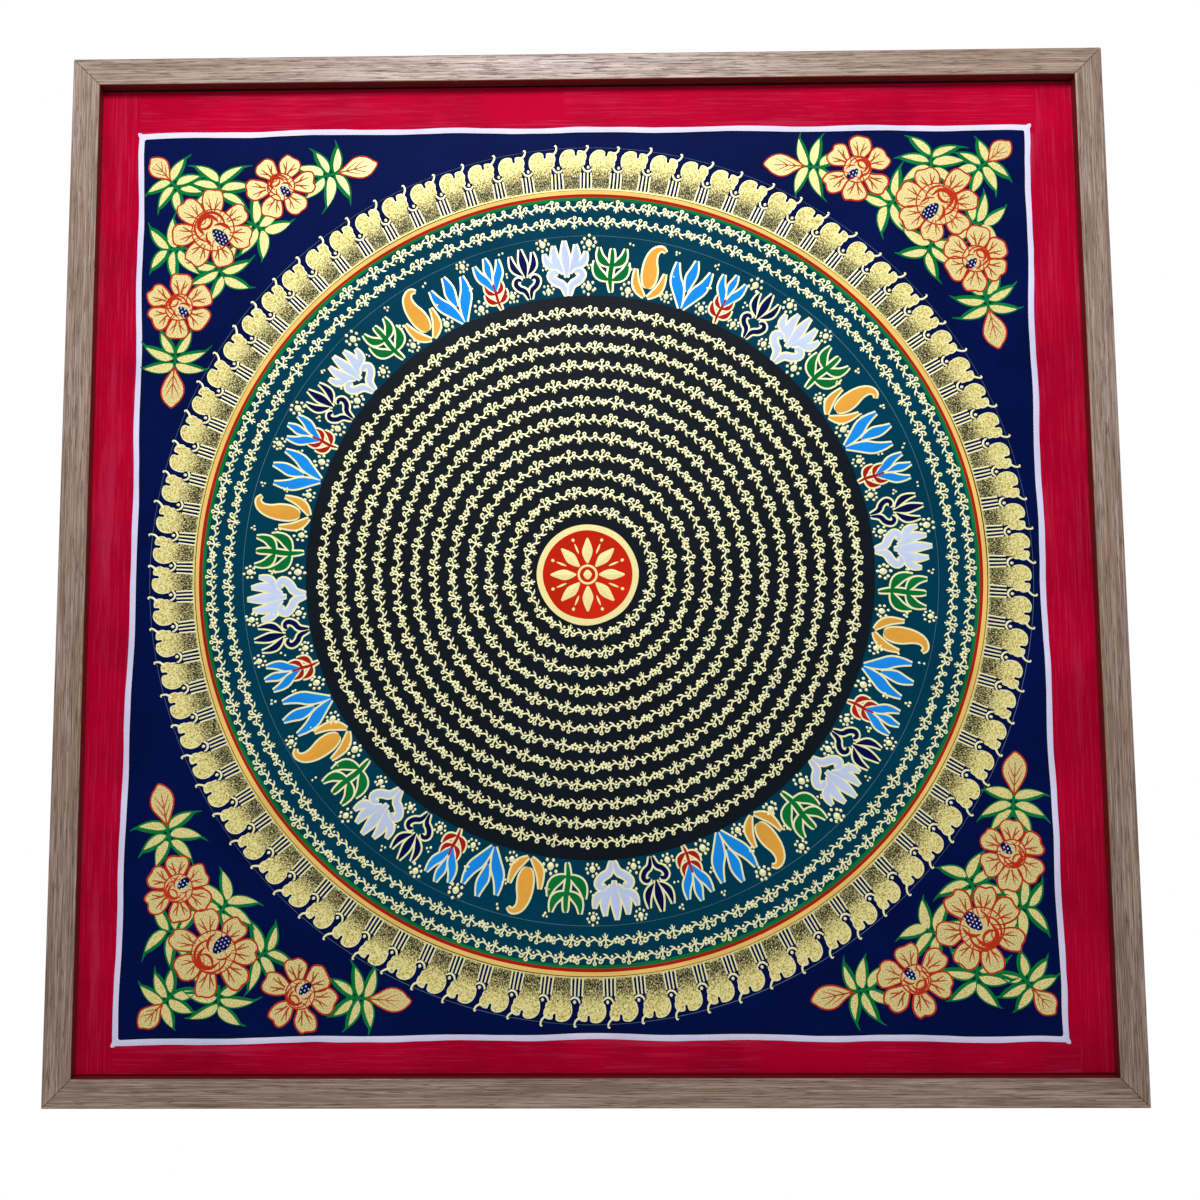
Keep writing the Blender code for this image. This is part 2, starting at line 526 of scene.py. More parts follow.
def brushed_gouache(name, paint, thin, along, dark=0.75):
    """The same paint pulled along X or Z with a wide flat brush.

    The eye sees long parallel marks, in the thin colour where the brush ran dry.
    """
    tree, shader, place = new_material(name, 0.62, gloss=GOUACHE_GLOSS)
    marks = [
        Coat(lengthwise(along, *size), 4.0, 0.55, 0.80, 0.38, tone(thin), 0.7)
        for size in BRUSH_MARKS
    ]
    clouds = Coat(0.045, 4.0, 0.3, 0.7, 1.0, tone(paint, 1.1))
    colour, noises = lay_coats(tree, place, tone(paint, dark), clouds, *marks)
    dress(tree, shader, colour, (noises[-1], 0.00004), (weave(tree, place), PAINTED_WEAVE))


def gold_paint(name, paint, thin, cover=0.36):
    """Powdered gold in gum: grainy, half covering, with bright grains and thin patches.

    Grains are drawn 0.7 mm across, coarser than real powder, so that they show.
    """
    tree, shader, place = new_material(name, 0.42, 0.20)
    colour, (grains, _) = lay_coats(
        tree, place, tone(thin),
        Coat(0.0007, 2.0, cover - GRAIN_EDGE, cover + GRAIN_EDGE, 1.0, tone(paint)),
        Coat(0.006, 3.0, 0.50, 0.75, 0.35, tone(paint, 0.8)),
    )
    dress(tree, shader, colour, (grains, 0.00006))


def stippled_gold(name):
    """Gold stippled on a dark ground with an almost dry brush, solid at the petals' heads.

    Distance from the mandala's centre sets how much of the ground the dots leave.  Dots are
    drawn 0.6 by 1.2 mm and grains 0.9 mm across, coarser than real ones, so that they show.
    """
    tree, shader, place = new_material(name, 0.5, 0.1, 0.15)
    right, up = bpy.context.scene.cloth_sizes.mandala_centre
    shift = add_node(tree, "ShaderNodeMapping", {
        "Vector": place, "Scale": (1.0, 0.0, 1.0),
        "Location": (-CLOTH_CENTRE.x - right, 0.0, -CLOTH_CENTRE.z - up),
    }).outputs["Vector"]
    reach = add_node(tree, "ShaderNodeVectorMath", {0: shift}, operation="LENGTH").outputs["Value"]
    way_out = add_node(tree, "ShaderNodeMapRange", spread(reach, *STIPPLE_REACH))
    wear = add_node(tree, "ShaderNodeValToRGB", {"Fac": way_out.outputs["Result"]})
    ramp = wear.color_ramp.elements
    while len(ramp) < len(STIPPLE):
        ramp.new(0.5)
    for element, (position, amount) in zip(ramp, STIPPLE):
        element.position = position
        element.color = (amount, amount, amount, 1.0)
    patches = pattern(tree, place, 0.003, 2.0)
    unevenness = add_node(tree, "ShaderNodeMapRange", spread(patches, 0.3, 0.7, -0.03, 0.03))
    dots = pattern(tree, radial_place(tree, shift, reach), (0.0006, 0.0012, 1.0), 3.0, 0.7)
    cover = wear.outputs["Color"]
    for part in (unevenness.outputs["Result"], dots):
        cover = add_node(tree, "ShaderNodeMath", {0: cover, 1: part}, operation="ADD").outputs["Value"]
    gilt = add_node(tree, "ShaderNodeMapRange", spread(cover, 0.95, 1.11)).outputs["Result"]
    grains = pattern(tree, place, 0.0009, 2.0)
    gold = lay_over(tree, tone("gold_dark"), tone("gold"), grains, 0.34, 0.52)
    gold = lay_over(tree, gold, tone("gold_light"), grains, 0.54, 0.66, 0.0, 0.7)
    colour = lay_over(tree, tone("black"), gold, gilt, 0.0, 1.0)
    dress(tree, shader, colour, (gilt, 0.00005))


def radial_place(tree, shift, reach):
    """Coordinates that run round the mandala in X and out from its centre in Y, in metres."""
    split = add_node(tree, "ShaderNodeSeparateXYZ", {"Vector": shift}).outputs
    turn = add_node(tree, "ShaderNodeMath", {0: split["X"], 1: split["Z"]}, operation="ARCTAN2")
    round_it = add_node(
        tree, "ShaderNodeMath", {0: turn.outputs["Value"], 1: STIPPLE_RADIUS},
        operation="MULTIPLY",
    )
    joined = add_node(
        tree, "ShaderNodeCombineXYZ", {"X": round_it.outputs["Value"], "Y": reach},
    )
    return joined.outputs["Vector"]


# What makes each material, and with what.  Oak has the axis of its grain.  Gouache has its
# paint, how light its specks and how dark its clouds are, its roughness and its gloss.
# Brushed gouache has its paint, the thin one, the axis of its marks and how dark its clouds
# are.  Gold has its paint, the thin one under it and the noise value from which it covers.
FINISHES = {
    "oak_level": (oak, "X"),
    "oak_upright": (oak, "Z"),
    "raw_fibreboard": (fibreboard,),
    "primed_cotton": (primed_cotton,),
    "crimson_gouache_level": (brushed_gouache, "crimson", "crimson_thin", "X"),
    "crimson_gouache_upright": (brushed_gouache, "crimson", "crimson_thin", "Z"),
    "crimson_gouache_twice": (brushed_gouache, "crimson", "crimson", "X", 0.85),
    # Painted shadow along the rebate's lips.
    "grime_black": (gouache, "black", 1.2, 0.8),
    "grime_crimson": (gouache, "dusk", 1.2, 0.8),
    "navy_gouache": (gouache, "navy", 1.9, 0.75, 0.5),
    "black_edge_gouache": (gouache, "black", 1.3, 0.9),
    "lavender_gouache": (gouache, "lavender", 1.12, 0.86),
    "ink_line": (gouache, "black", 1.2, 0.8),
    "amber_gouache": (gouache, "amber"),
    "carmine_gouache": (gouache, "carmine", 1.3, 0.8),
    "green_gouache": (gouache, "leaf_green", 1.3, 0.7),
    "teal_gouache": (gouache, "teal", 1.5, 0.85, 0.55),
    "black_gouache": (gouache, "black", 2.0, 0.8, 0.5, 0.08),
    "scarlet_gouache": (gouache, "scarlet"),
    "chalk_line": (gouache, "chalk", 1.2, 0.6),
    "pearl_gouache": (gouache, "pearl", 1.15),
    "orange_gouache": (gouache, "orange"),
    "sky_gouache": (gouache, "sky"),
    "leaf_line_gouache": (gouache, "leaf_green", 1.3, 0.8),
    "vermilion_gouache": (gouache, "vermilion", 1.25),
    "vein_gouache": (gouache, "umber"),
    "stippled_gold": (stippled_gold,),
    "gold_band_paint": (gold_paint, "gold", "gold_dark", 0.40),
    "gold_heart_paint": (gold_paint, "heart_gold", "amber", 0.38),
    "gold_petal_line_paint": (gold_paint, "gold_light", "gold"),
    "gold_line_paint": (gold_paint, "gold_light", "gold"),
    "gold_vine_paint": (gold_paint, "gold_light", "gold", 0.30),
    "leaf_gold_paint": (gold_paint, "leaf_gold", "gold_dark", 0.43),
    "blossom_gold_paint": (gold_paint, "blossom", "blossom_dark", 0.46),
}


def finish_named(name):
    """The material of this name, made when it is first asked for."""
    if name not in bpy.data.materials:
        make, *settings = FINISHES[name]
        make(name, *settings)
    return bpy.data.materials[name]


# ---------------------------------------------------------------- drawing


def unit(angle):
    """A step of one in a direction."""
    return np.array((math.cos(angle), math.sin(angle)))


def around(turns, reach):
    """Points at angles taken anticlockwise from X, at their distances."""
    return np.column_stack((np.cos(turns), np.sin(turns))) * np.reshape(reach, (-1, 1))


def along_ring(centre, turns, reach):
    """Points at angles taken clockwise from Y, at their distances from a centre."""
    return np.column_stack((np.sin(turns), np.cos(turns))) * np.reshape(reach, (-1, 1)) + centre


def turned(points, centre, angle):
    """Points drawn with Y forward, turned so that forward is `angle`, and moved."""
    forward = unit(angle)
    right = np.array((forward[1], -forward[0]))
    points = np.array(points, dtype=float)
    return points[:, :1] * right + points[:, 1:] * forward + np.array(centre)


def jittered(points, amount, chance):
    """The points, each moved a little."""
    return [(x + chance.uniform(-amount, amount), y + chance.uniform(-amount, amount))
            for x, y in points]


def waver(angles, amount, seed, waves=5):
    """A hand's slow waver round a closed line, up to about `amount` either way."""
    chance = random.Random(seed)
    total = np.zeros(len(angles))
    for wave in range(2, 2 + waves):
        total += np.sin(wave * angles + chance.uniform(0, math.tau)) / waves
    return total * amount * 1.5


class Stroke:
    """One pull of the brush: control points in mm, the width at each, and if it closes."""

    def __init__(self, points, widths, closed=False):
        self.points = np.array(points, dtype=float)
        self.widths = np.ones(len(self.points)) * np.array(widths, dtype=float)
        self.closed = closed

    def placed(self, centre, turn=0.0, scale=1.0):
        """The stroke scaled, turned and moved."""
        cos, sin = math.cos(turn), math.sin(turn)
        points = (self.points * scale) @ np.array(((cos, sin), (-sin, cos)))
        return Stroke(points + np.array(centre), self.widths * scale, self.closed)

    def bent(self, centre, radius, angle):
        """The stroke wrapped round a ring: X runs clockwise along it and Y points out."""
        turns = angle + self.points[:, 0] / radius
        points = along_ring(centre, turns, radius + self.points[:, 1])
        return Stroke(points, self.widths, self.closed)

    def fattened(self, extra):
        """The same stroke under a wider brush."""
        return Stroke(self.points, self.widths + extra, self.closed)


def dot(x, y, radius):
    """A round dab of paint: a stroke as wide as it is long."""
    reach = np.array((-1.0, -0.62, 0.62, 1.0)) * radius
    points = np.column_stack((reach + x, np.full(4, y)))
    return Stroke(points, np.array((0.1, 2.3, 2.3, 0.1)) * radius)


def circlet(x, y, radius, width, sides=7):
    """A small closed ring."""
    turns = np.arange(sides) * math.tau / sides
    return Stroke(around(turns, radius) + (x, y), width, closed=True)


def leaf_stroke(points, width):
    """A stroke that swells from a fine start and ends in a fine tip."""
    share = np.linspace(0.0, 1.0, len(points))
    return Stroke(points, width * (0.15 + np.sin(math.pi * share ** 0.8) * 0.95))


def blunt_stroke(points, widths):
    """A stroke with rounded ends."""
    points = np.array(points, dtype=float)
    widths = np.ones(len(points)) * np.array(widths, dtype=float)
    head = points[0] + (points[0] - points[1]) * 0.02
    tail = points[-1] + (points[-1] - points[-2]) * 0.02
    return Stroke(np.vstack((head, points, tail)), (0.3, *widths, 0.3))


def new_flat_curve(name, steps=2):
    """An empty flat curve, ready for splines."""
    bpy.ops.object.add(type="CURVE")
    item = bpy.context.object
    item.name = name
    item.data.dimensions = "2D"
    item.data.fill_mode = "NONE"
    item.data.resolution_u = steps
    return item


def add_spline(curve, stroke):
    """Add a stroke to a curve as a smooth spline."""
    spline = curve.splines.new("NURBS")
    count = len(stroke.points)
    spline.points.add(count - 1)
    places = np.zeros((count, 4))
    places[:, :2] = stroke.points
    places[:, 3] = 1.0
    spline.points.foreach_set("co", places.ravel())
    spline.points.foreach_set("radius", stroke.widths)
    spline.order_u = min(3, count)
    spline.use_endpoint_u = not stroke.closed
    spline.use_cyclic_u = stroke.closed


def paint_strokes(name, strokes):
    """Lay strokes as low ridges of a three-cornered section."""
    piece = PIECES[name]
    profile = new_flat_curve("brush_section")
    section = profile.data.splines.new("POLY")
    section.points.add(2)
    section.use_cyclic_u = True
    for point, place in zip(section.points, ((-0.5, 0.0), (0.0, piece.relief), (0.5, 0.0))):
        point.co = (*place, 0.0, 1.0)
    item = new_flat_curve(name, piece.steps)
    item.data.bevel_mode = "OBJECT"
    item.data.bevel_object = profile
    item.data.use_fill_caps = True
    for stroke in strokes:
        add_spline(item.data, stroke)
    select_only(item)
    bpy.ops.object.convert(target="MESH")
    bpy.data.objects.remove(profile)
    finish_paint(item, name)


def paint_shapes(name, outlines):
    """Fill closed outlines with paint, each on its own thin film."""
    shapes = []
    for index, outline in enumerate(outlines):
        shape = new_flat_curve(name)
        shape.data.fill_mode = "BOTH"
        shape.data.extrude = FILM / 2
        add_spline(shape.data, Stroke(outline, 1.0, closed=True))
        shape.location.z = FILM_STEP * (index % FILM_STEPS)
        shapes.append(shape)
    select_only(*shapes)
    bpy.ops.object.convert(target="MESH")
    if len(shapes) > 1:
        bpy.ops.object.join()
    item = bpy.context.object
    apply_place(item)
    finish_paint(item, name)


def paint_drawn(drawn):
    """Lay the pieces of a drawing in turn, each in strokes or as filled outlines."""
    for name, parts in drawn.items():
        if PIECES[name].relief is None:
            paint_shapes(name, parts)
        else:
            paint_strokes(name, parts)


def paint_disc(name, centre, radius, seed, amount=DISC_WAVER):
    """A brushed disc with a slightly wavering edge, as a thin film on the cloth."""
    bpy.ops.object.select_all(action="DESELECT")
    bpy.ops.mesh.primitive_circle_add(vertices=DISC_SIDES, radius=radius, fill_type="NGON")
    item = bpy.context.object
    places = np.array([vertex.co[:2] for vertex in item.data.vertices])
    angles = np.arctan2(places[:, 1], places[:, 0])
    reach = 1.0 + waver(angles, amount, seed, waves=7) / radius
    for vertex, place, stretch in zip(item.data.vertices, places, reach):
        vertex.co = (*(place * stretch + np.array(centre)), 0.0)
    apply_modifier(item, "SOLIDIFY", thickness=PIECES[name].level, offset=-1.0)
    finish_paint(item, name)


def paint_bar(name, low, high, ragged, chance):
    """A bar of paint from one corner to another, with brush-ragged ends if asked."""
    bpy.ops.object.select_all(action="DESELECT")
    bpy.ops.mesh.primitive_grid_add(
        x_subdivisions=BAR_SQUARES, y_subdivisions=BAR_SQUARES, size=1.0,
    )
    item = bpy.context.object
    low, high = np.array(low), np.array(high)
    for vertex in item.data.vertices:
        place = low + (np.array(vertex.co[:2]) + 0.5) * (high - low)
        if ragged and max(abs(vertex.co.x), abs(vertex.co.y)) > BAR_EDGE:
            place += np.array((chance.uniform(-ragged, ragged), chance.uniform(-ragged, ragged)))
        vertex.co = (*place, 0.0)
    apply_modifier(item, "SOLIDIFY", thickness=PIECES[name].level, offset=-1.0)
    finish_paint(item, name)


# ---------------------------------------------------------------- border and field

# How far from the cloth's centre the paint reaches, just short of its edges, in mm.
PAINT_X = CLOTH_SIZE.x / MM / 2 - 0.3
PAINT_Y = CLOTH_SIZE.z / MM / 2 - 0.3
# The bars of the border, the patches that were painted twice and the painted shadow along the rebate,
# black under the top lip and dark crimson above the foot: opposite corners in mm from the cloth's
# centre, and how ragged the ends are.
BARS = {
    "border_left": ((-PAINT_X, -PAINT_Y), (-258.0, PAINT_Y), 0.0),
    "border_right": ((256.0, -PAINT_Y), (PAINT_X, PAINT_Y), 0.0),
    "border_top": ((-262.0, 251.0), (262.0, PAINT_Y), 0.0),
    "border_bottom": ((-264.0, -PAINT_Y), (266.0, -263.0), 0.0),
    "overlap_top_a": ((-258.0, 270.0), (-236.0, 284.5), 0.5),
    "overlap_top_b": ((-60.0, 262.0), (-12.0, 288.0), 0.5),
    "overlap_bottom": ((92.0, -288.0), (150.0, -270.0), 0.5),
    "rebate_shadow_top": ((-PAINT_X, 282.1), (PAINT_X, 284.4), 0.15),
    "rebate_shadow_foot": ((-PAINT_X, -284.4), (PAINT_X, -281.8), 0.15),
}

# Corners of the painted square, the middle of its pale line, in mm from the cloth's centre,
# and how far each side, from that corner on, bows outward at its quarters.
SQUARE = ((-260.7, 254.4), (257.7, 254.2), (258.6, -264.2), (-262.7, -265.4))
BOWS = ((1.7, 1.3, 0.9), (-2.0, -1.9, -1.2), (-1.2, -2.4, -1.8), (-1.0, -2.8, -1.5))
QUARTERS = (0.0, 0.25, 0.5, 0.75, 1.0)
# Share of a side within which its end stays straight, so that the corner is kept.
CORNER_SHARE = 0.004
# The hand's sway along a side: radians from one point to the next and from one side to the
# next, and how far chance moves a point, in shares of the sway.
SWAY_STEP = 0.7
SWAY_TURN = 2.1
SWAY_CHANCE = 0.4
# Where the pale line crosses itself at a corner, how far in and out it runs, and its widths.
CROSSING = (-2.0, 0.0, 2.2)
CROSSING_WIDTHS = (3.2, 3.6, 1.6)


def square_path(inset, step, sway, seed):
    """Points along the hand-drawn square, drawn in by `inset`, with the corners kept."""
    chance = random.Random(seed)
    square = np.array(SQUARE)
    corners = square - np.sign(square - np.mean(square, axis=0)) * inset
    points = []
    for index, corner in enumerate(corners):
        along = corners[(index + 1) % 4] - corner
        length = np.linalg.norm(along)
        outward = np.array((-along[1], along[0])) / length
        count = int(length / step)
        points += [corner, corner + along * CORNER_SHARE]
        for place in range(1, count):
            share = place / count
            bow = np.interp(share, QUARTERS, (0.0, *BOWS[index], 0.0))
            swing = sway * math.sin(place * SWAY_STEP + index * SWAY_TURN)
            swing += chance.uniform(-SWAY_CHANCE, SWAY_CHANCE) * sway
            points.append(corner + along * share + outward * (bow + swing))
        points.append(corner + along * (1.0 - CORNER_SHARE))
    return points


# ---------------------------------------------------------------- rings

# The discs, each over the one before: the size that it has and mm added to it.
DISCS = {
    "petal_ground": ("petal_foot", 1.4),
    "rim": ("orange_radius", 1.3),
    "rim_line": ("orange_radius", 0.4),
    "orange_band": ("orange_radius", 0.0),
    "red_band": ("red_radius", 0.0),
    "green_band": ("green_radius", 0.0),
    "teal_ring": ("teal_radius", 0.0),
    "black_disc": ("black_radius", 0.0),
}
# The heart's middle, in mm from that of the rings.
HEART_SHIFT = (-1.1, -1.4)
# Radii in mm of the circles scratched on the ring and the field, and how far outside every
# second gold row another one runs.
COMPASS_RADII = (197.4, 250.6)
COMPASS_LIFT = 1.2
# Least width in mm of such a circle, and how much it gains where the compass pressed.
COMPASS_WIDTH = 0.12
COMPASS_PRESS = 0.10


def mandala_centre(context, shift=(0.0, 0.0)):
    """The rings' centre, or a point beside it, in artwork millimetres."""
    return np.array(context.scene.cloth_sizes.mandala_centre) / MM + shift


# ---------------------------------------------------------------- vine of the gold rows

ROW_WIDTH = 0.84
# The stem swings from one side to the other this often in each repeat, and this far.
SWINGS = 12
SWING = 0.936
# Rows this far out are a piece of their own, to share out the triangles.
OUTER_ROWS = 115.0
# Radii of the rows on the teal ring.
TEAL_ROWS = (205.3, 215.0)


def leafy_bend(side):
    """A long leaf that springs from the crown of a bend of the stem."""
    return [leaf_stroke(((-1.3, 0.6 * side), (-0.2, 2.0 * side), (1.7, 2.7 * side)), 1.5)]


def berry_bend(side):
    """An open berry on the crown of a bend, and a bud in the hollow."""
    return [circlet(0.1, 1.9 * side, 0.95, 0.72, 6), dot(0.0, -0.9 * side, 0.72)]


def curled_bend(side):
    """A tendril that curls over the crown of a bend."""
    curl = Stroke(((-1.4, 0.3 * side), (-1.1, 1.9 * side), (0.4, 2.8 * side),
                   (1.5, 1.9 * side), (0.6, 1.2 * side)), (0.8, 0.85, 0.85, 0.8, 0.7))
    return [curl, dot(0.1, -1.0 * side, 0.62)]


def flower_bend(side):
    """A floret of five dabs round an open eye, in place of a bend."""
    places = [1.45 * unit(index * math.tau / 5 + 0.3) for index in range(5)]
    return [dot(x, y * side, 0.78) for x, y in places]


def tall_bend(side):
    """A stalk right across the stem, with a berry above and a pair of leaves below."""
    stalk = Stroke(((0.2, 2.0), (0.0, 0.0), (-0.2, -1.8), (0.1, -3.8)), 0.85)
    leaves = [leaf_stroke(((0.0, -1.0), (x * 0.7, -1.7), (x, -3.0)), 1.1) for x in (-1.5, 1.5)]
    return [stalk, circlet(0.2, 2.9, 0.9, 0.72, 6), *leaves]


# What grows on each bend of the stem through one repeat.
VINE = (
    leafy_bend, berry_bend, leafy_bend, curled_bend, tall_bend, curled_bend,
    leafy_bend, berry_bend, flower_bend, leafy_bend, tall_bend, berry_bend,
)


def vine_row(centre, radius, repeat, seed):
    """One gold row: a winding stem with its leaves, tendrils, berries and florets."""
    chance = random.Random(seed)
    repeats = max(3, round(math.tau * radius / repeat))
    bends = repeats * SWINGS
    start = chance.uniform(0, math.tau)
    strokes = []
    for index in range(bends):
        side = 1 if index % 2 else -1
        angle = start + (index + 0.5 + chance.uniform(-0.05, 0.05)) * math.tau / bends
        lift = chance.uniform(-0.15, 0.15)
        turn = chance.uniform(-0.12, 0.12)
        scale = chance.uniform(0.92, 1.08)
        for part in VINE[index % SWINGS](side):
            strokes.append(part.placed((0.0, lift), turn, scale).bent(centre, radius, angle))
    turns = start + np.arange(bends * 2) * math.pi / bends
    swing = SWING * np.sin(np.arange(bends * 2) * math.pi / 2)
    reach = radius + waver(turns, amount=0.2, seed=seed + 1, waves=9) - swing
    strokes.append(Stroke(along_ring(centre, turns, reach), ROW_WIDTH, closed=True))
    return strokes


# ---------------------------------------------------------------- motifs of the teal ring

# The motifs' strokes, in mm from each motif's middle, right and out: points, width, and
# whether a mirror image follows.  One width makes a leaf, several make a blunt stroke.
# Five petals spread like a fan over two small scrolls.
PALMETTE = (
    (((0.8, -16.5), (2.0, -10.0), (6.4, -8.4), (9.4, -4.6), (7.0, -1.6), (4.4, -3.6)),
     (1.4, 3.2, 3.4, 3.2, 2.6, 1.8), True),
    (((0.0, -6.0), (0.3, 2.0), (-0.3, 9.0), (0.0, 15.5)), 4.8, False),
    (((1.6, -3.6), (4.6, 1.6), (6.6, 7.0), (6.2, 13.0)), 4.4, True),
    (((4.0, -0.6), (8.2, 1.0), (11.2, 4.2), (11.8, 8.6)), 3.6, True),
)
# A stem with two pairs of broad leaves.
LEAFY_SPRIG = (
    (((0.8, -15.0), (-0.6, -6.0), (0.5, 3.0), (0.0, 11.0)), (1.4, 2.8, 2.8, 2.2), False),
    (((0.6, -8.0), (5.0, -6.5), (9.0, -2.0), (9.6, 3.5)), 4.8, True),
    (((0.4, 0.5), (4.2, 2.2), (7.6, 6.0), (7.8, 11.5)), 4.2, True),
)
# A plump drop with a bent tip, between two leaves, and the red tongue inside it.
BENT_DROP = (
    (((6.6, 13.2), (4.2, 15.4), (0.2, 13.0), (-1.2, 7.0), (-0.4, 1.0), (0.0, -5.0),
      (0.0, -10.0)), (0.8, 2.0, 3.6, 6.0, 8.4, 8.0, 3.6), False),
    (((0.8, -15.5), (4.8, -12.5), (8.0, -7.0), (8.6, 0.5)), 3.8, True),
)
DROP_TONGUE = ((((0.2, -8.0), (-0.3, -2.0), (0.0, 4.0)), 2.6, False),)
# Three petals on a pointed foot.
LILY = (
    (((0.6, -16.0), (4.0, -6.5), (9.0, 0.0), (9.8, 9.0)), 6.0, True),
    (((0.0, -6.0), (-0.8, 1.0), (0.6, 7.0), (0.0, 13.0)), 5.2, False),
)
# A bud between two slim leaves, on a pair of scrolls.
BUD_ON_SCROLLS = (
    (((0.6, -16.0), (1.6, -10.4), (5.0, -9.0), (7.0, -5.2), (4.8, -2.8), (2.8, -4.4)),
     (1.2, 2.6, 2.8, 2.6, 2.2, 1.6), True),
    (((0.0, -3.0), (0.2, 3.5), (-0.2, 9.0), (0.0, 14.5)), 4.4, False),
    (((1.4, -1.4), (4.8, 1.6), (6.8, 6.2), (6.6, 11.5)), 3.4, True),
)
# A group of motifs: the angle of each past the group's start, in degrees, and its parts,
# each with the piece that it belongs to, how far out it is moved and its scale.
GROUP = (
    (0.0, ((PALMETTE, "motifs_pearl", 0.0, 1.0),)),
    (8.2, ((LEAFY_SPRIG, "motifs_green", 0.0, 1.0),)),
    (15.8, ((BENT_DROP, "motifs_orange", 0.0, 1.0), (DROP_TONGUE, "motifs_red", 0.0, 1.0))),
    (23.4, ((LILY, "motifs_blue", 0.0, 1.0),)),
    (30.8, ((LILY, "motifs_blue", 5.2, 0.70), (LEAFY_SPRIG, "motifs_red", -8.0, 0.60))),
    (37.6, ((BUD_ON_SCROLLS, "motifs_navy", 0.0, 1.0),)),
)
GROUP_START = -4.0
MOTIF_RADIUS = 178.8
# How much wider than the motif the gold under it is.
GOLD_EDGE = 2.1
# Pieces of the ring in the order in which they are laid.
MOTIF_PIECES = (
    "motif_edges", "rosettes", "motifs_pearl", "motifs_green", "motifs_orange", "motifs_blue",
    "motifs_red", "motifs_navy",
)
# Radii where a rosette and clusters of dabs lie half way from one motif to the next, and
# how likely each is to be a rosette.
DAB_PLACES = ((166.2, 1.0), (193.2, 0.55), (179.5, 0.0))
# Radius of a rosette's middle dab, reach and radius of the dabs round it, and how far a
# cluster's dabs lie from its middle.
ROSETTE_DAB = 1.9
ROSETTE_REACH = 3.7
ROSETTE_BEAD = 0.86
CLUSTER_REACH = 1.1


def motif_strokes(rows):
    """The strokes of a motif, each followed by its mirror image if it has one."""
    strokes = []
    for points, width, mirrored in rows:
        make = blunt_stroke if isinstance(width, tuple) else leaf_stroke
        strokes.append(make(points, width))
        if mirrored:
            strokes.append(make([(-x, y) for x, y in points], width))
    return strokes


def rosette(chance):
    """A dab with a ring of smaller dabs round it."""
    size = chance.uniform(0.80, 1.04)
    dabs = [dot(0.0, 0.0, ROSETTE_DAB * size)]
    count = chance.choice((7, 8, 8))
    for index in range(count):
        turn = index * math.tau / count + chance.uniform(-0.12, 0.12)
        reach = ROSETTE_REACH * size * chance.uniform(0.95, 1.05)
        dabs.append(dot(*(reach * unit(turn)), ROSETTE_BEAD * size))
    return dabs


def dab_cluster(chance):
    """Two or three small dabs together."""
    turn = chance.uniform(0, math.tau)
    count = chance.choice((2, 3, 3))
    places = [CLUSTER_REACH * unit(turn + index * math.tau / count) for index in range(count)]
    return [dot(x, y, chance.uniform(0.55, 0.8)) for x, y in places]


# ---------------------------------------------------------------- petals of the outer ring

# All in mm from the middle of the tassel at a petal's left foot: along the ring, then out.
# The petal's solid gold, from its left foot over the round shoulder and the notched top.
PETAL_OUTLINE = (
    (3.4, -1.6), (3.3, 0.6), (2.8, 2.4), (2.3, 4.4), (2.2, 6.8), (2.9, 9.2), (4.6, 11.2),
    (6.8, 12.2), (9.0, 12.1), (10.3, 11.5), (10.5, 10.4), (10.4, 8.8), (11.4, 7.6), (12.5, 8.8),
    (12.4, 10.6), (12.9, 11.4), (14.8, 11.4), (16.4, 10.6), (17.0, 9.2), (17.2, 7.8),
    (16.9, 6.4), (16.2, 5.5), (16.6, 4.4), (16.1, 2.8), (15.0, 1.8), (14.2, -0.2), (13.9, -1.6),
)
# The dark ground of the tassel and of the drop-shaped gap above it.
GAP_OUTLINE = (
    (-3.9, -11.3), (-3.6, -6.0), (-3.4, -1.4), (-2.6, 0.6), (-1.4, 1.6), (-0.6, 3.0),
    (1.2, 3.6), (3.0, 2.8), (3.4, 0.6), (3.5, -1.4), (3.5, -6.0), (3.6, -11.3),
)
# The dark crescent that parts a tassel's tie from the petal beside it.
TASSEL_SHADE = Stroke(((-2.9, 1.6), (-2.7, -0.4), (-1.2, -1.8), (0.4, -2.1)), (0.4, 0.9, 0.8, 0.3))
# The crescent that ties a tassel, and where its threads start.
TASSEL_TIE = Stroke(((-1.9, 2.2), (-1.7, 0.2), (0.4, -1.1), (2.4, -0.8), (3.3, 0.5)),
                    (0.5, 1.2, 1.1, 1.1, 0.7))
TASSEL_THREADS = (-3.3, -1.15, 1.0, 3.1)


def tassel(chance):
    """Four fine lines below a gap, tied with a crescent and a dab."""
    strokes = []
    for place in TASSEL_THREADS:
        foot = place * chance.uniform(1.0, 1.12) - 0.2
        strokes.append(Stroke(((place * 0.95, -1.7), (place, -6.0), (foot, -11.5)), 0.85))
    return [*strokes, TASSEL_TIE, dot(chance.uniform(0.9, 1.3), 1.5, 0.85)]


def petal_hook(chance):
    """The fine curl that leaves a petal's outer corner."""
    tip = 14.8 + chance.uniform(-0.8, 0.6)
    lean = chance.uniform(-0.4, 0.6)
    path = ((-2.2, 9.6), (-0.8, 10.6), (0.3, 11.8), (0.8 + lean, 13.2), (0.9 + lean, tip),
            (0.1 + lean, tip + 0.3), (-0.2 + lean, tip - 0.3))
    return Stroke(path, (1.4, 1.2, 1.05, 1.0, 0.95, 0.8, 0.4))


# ---------------------------------------------------------------- lotus of the heart

LOTUS_PETALS = 8
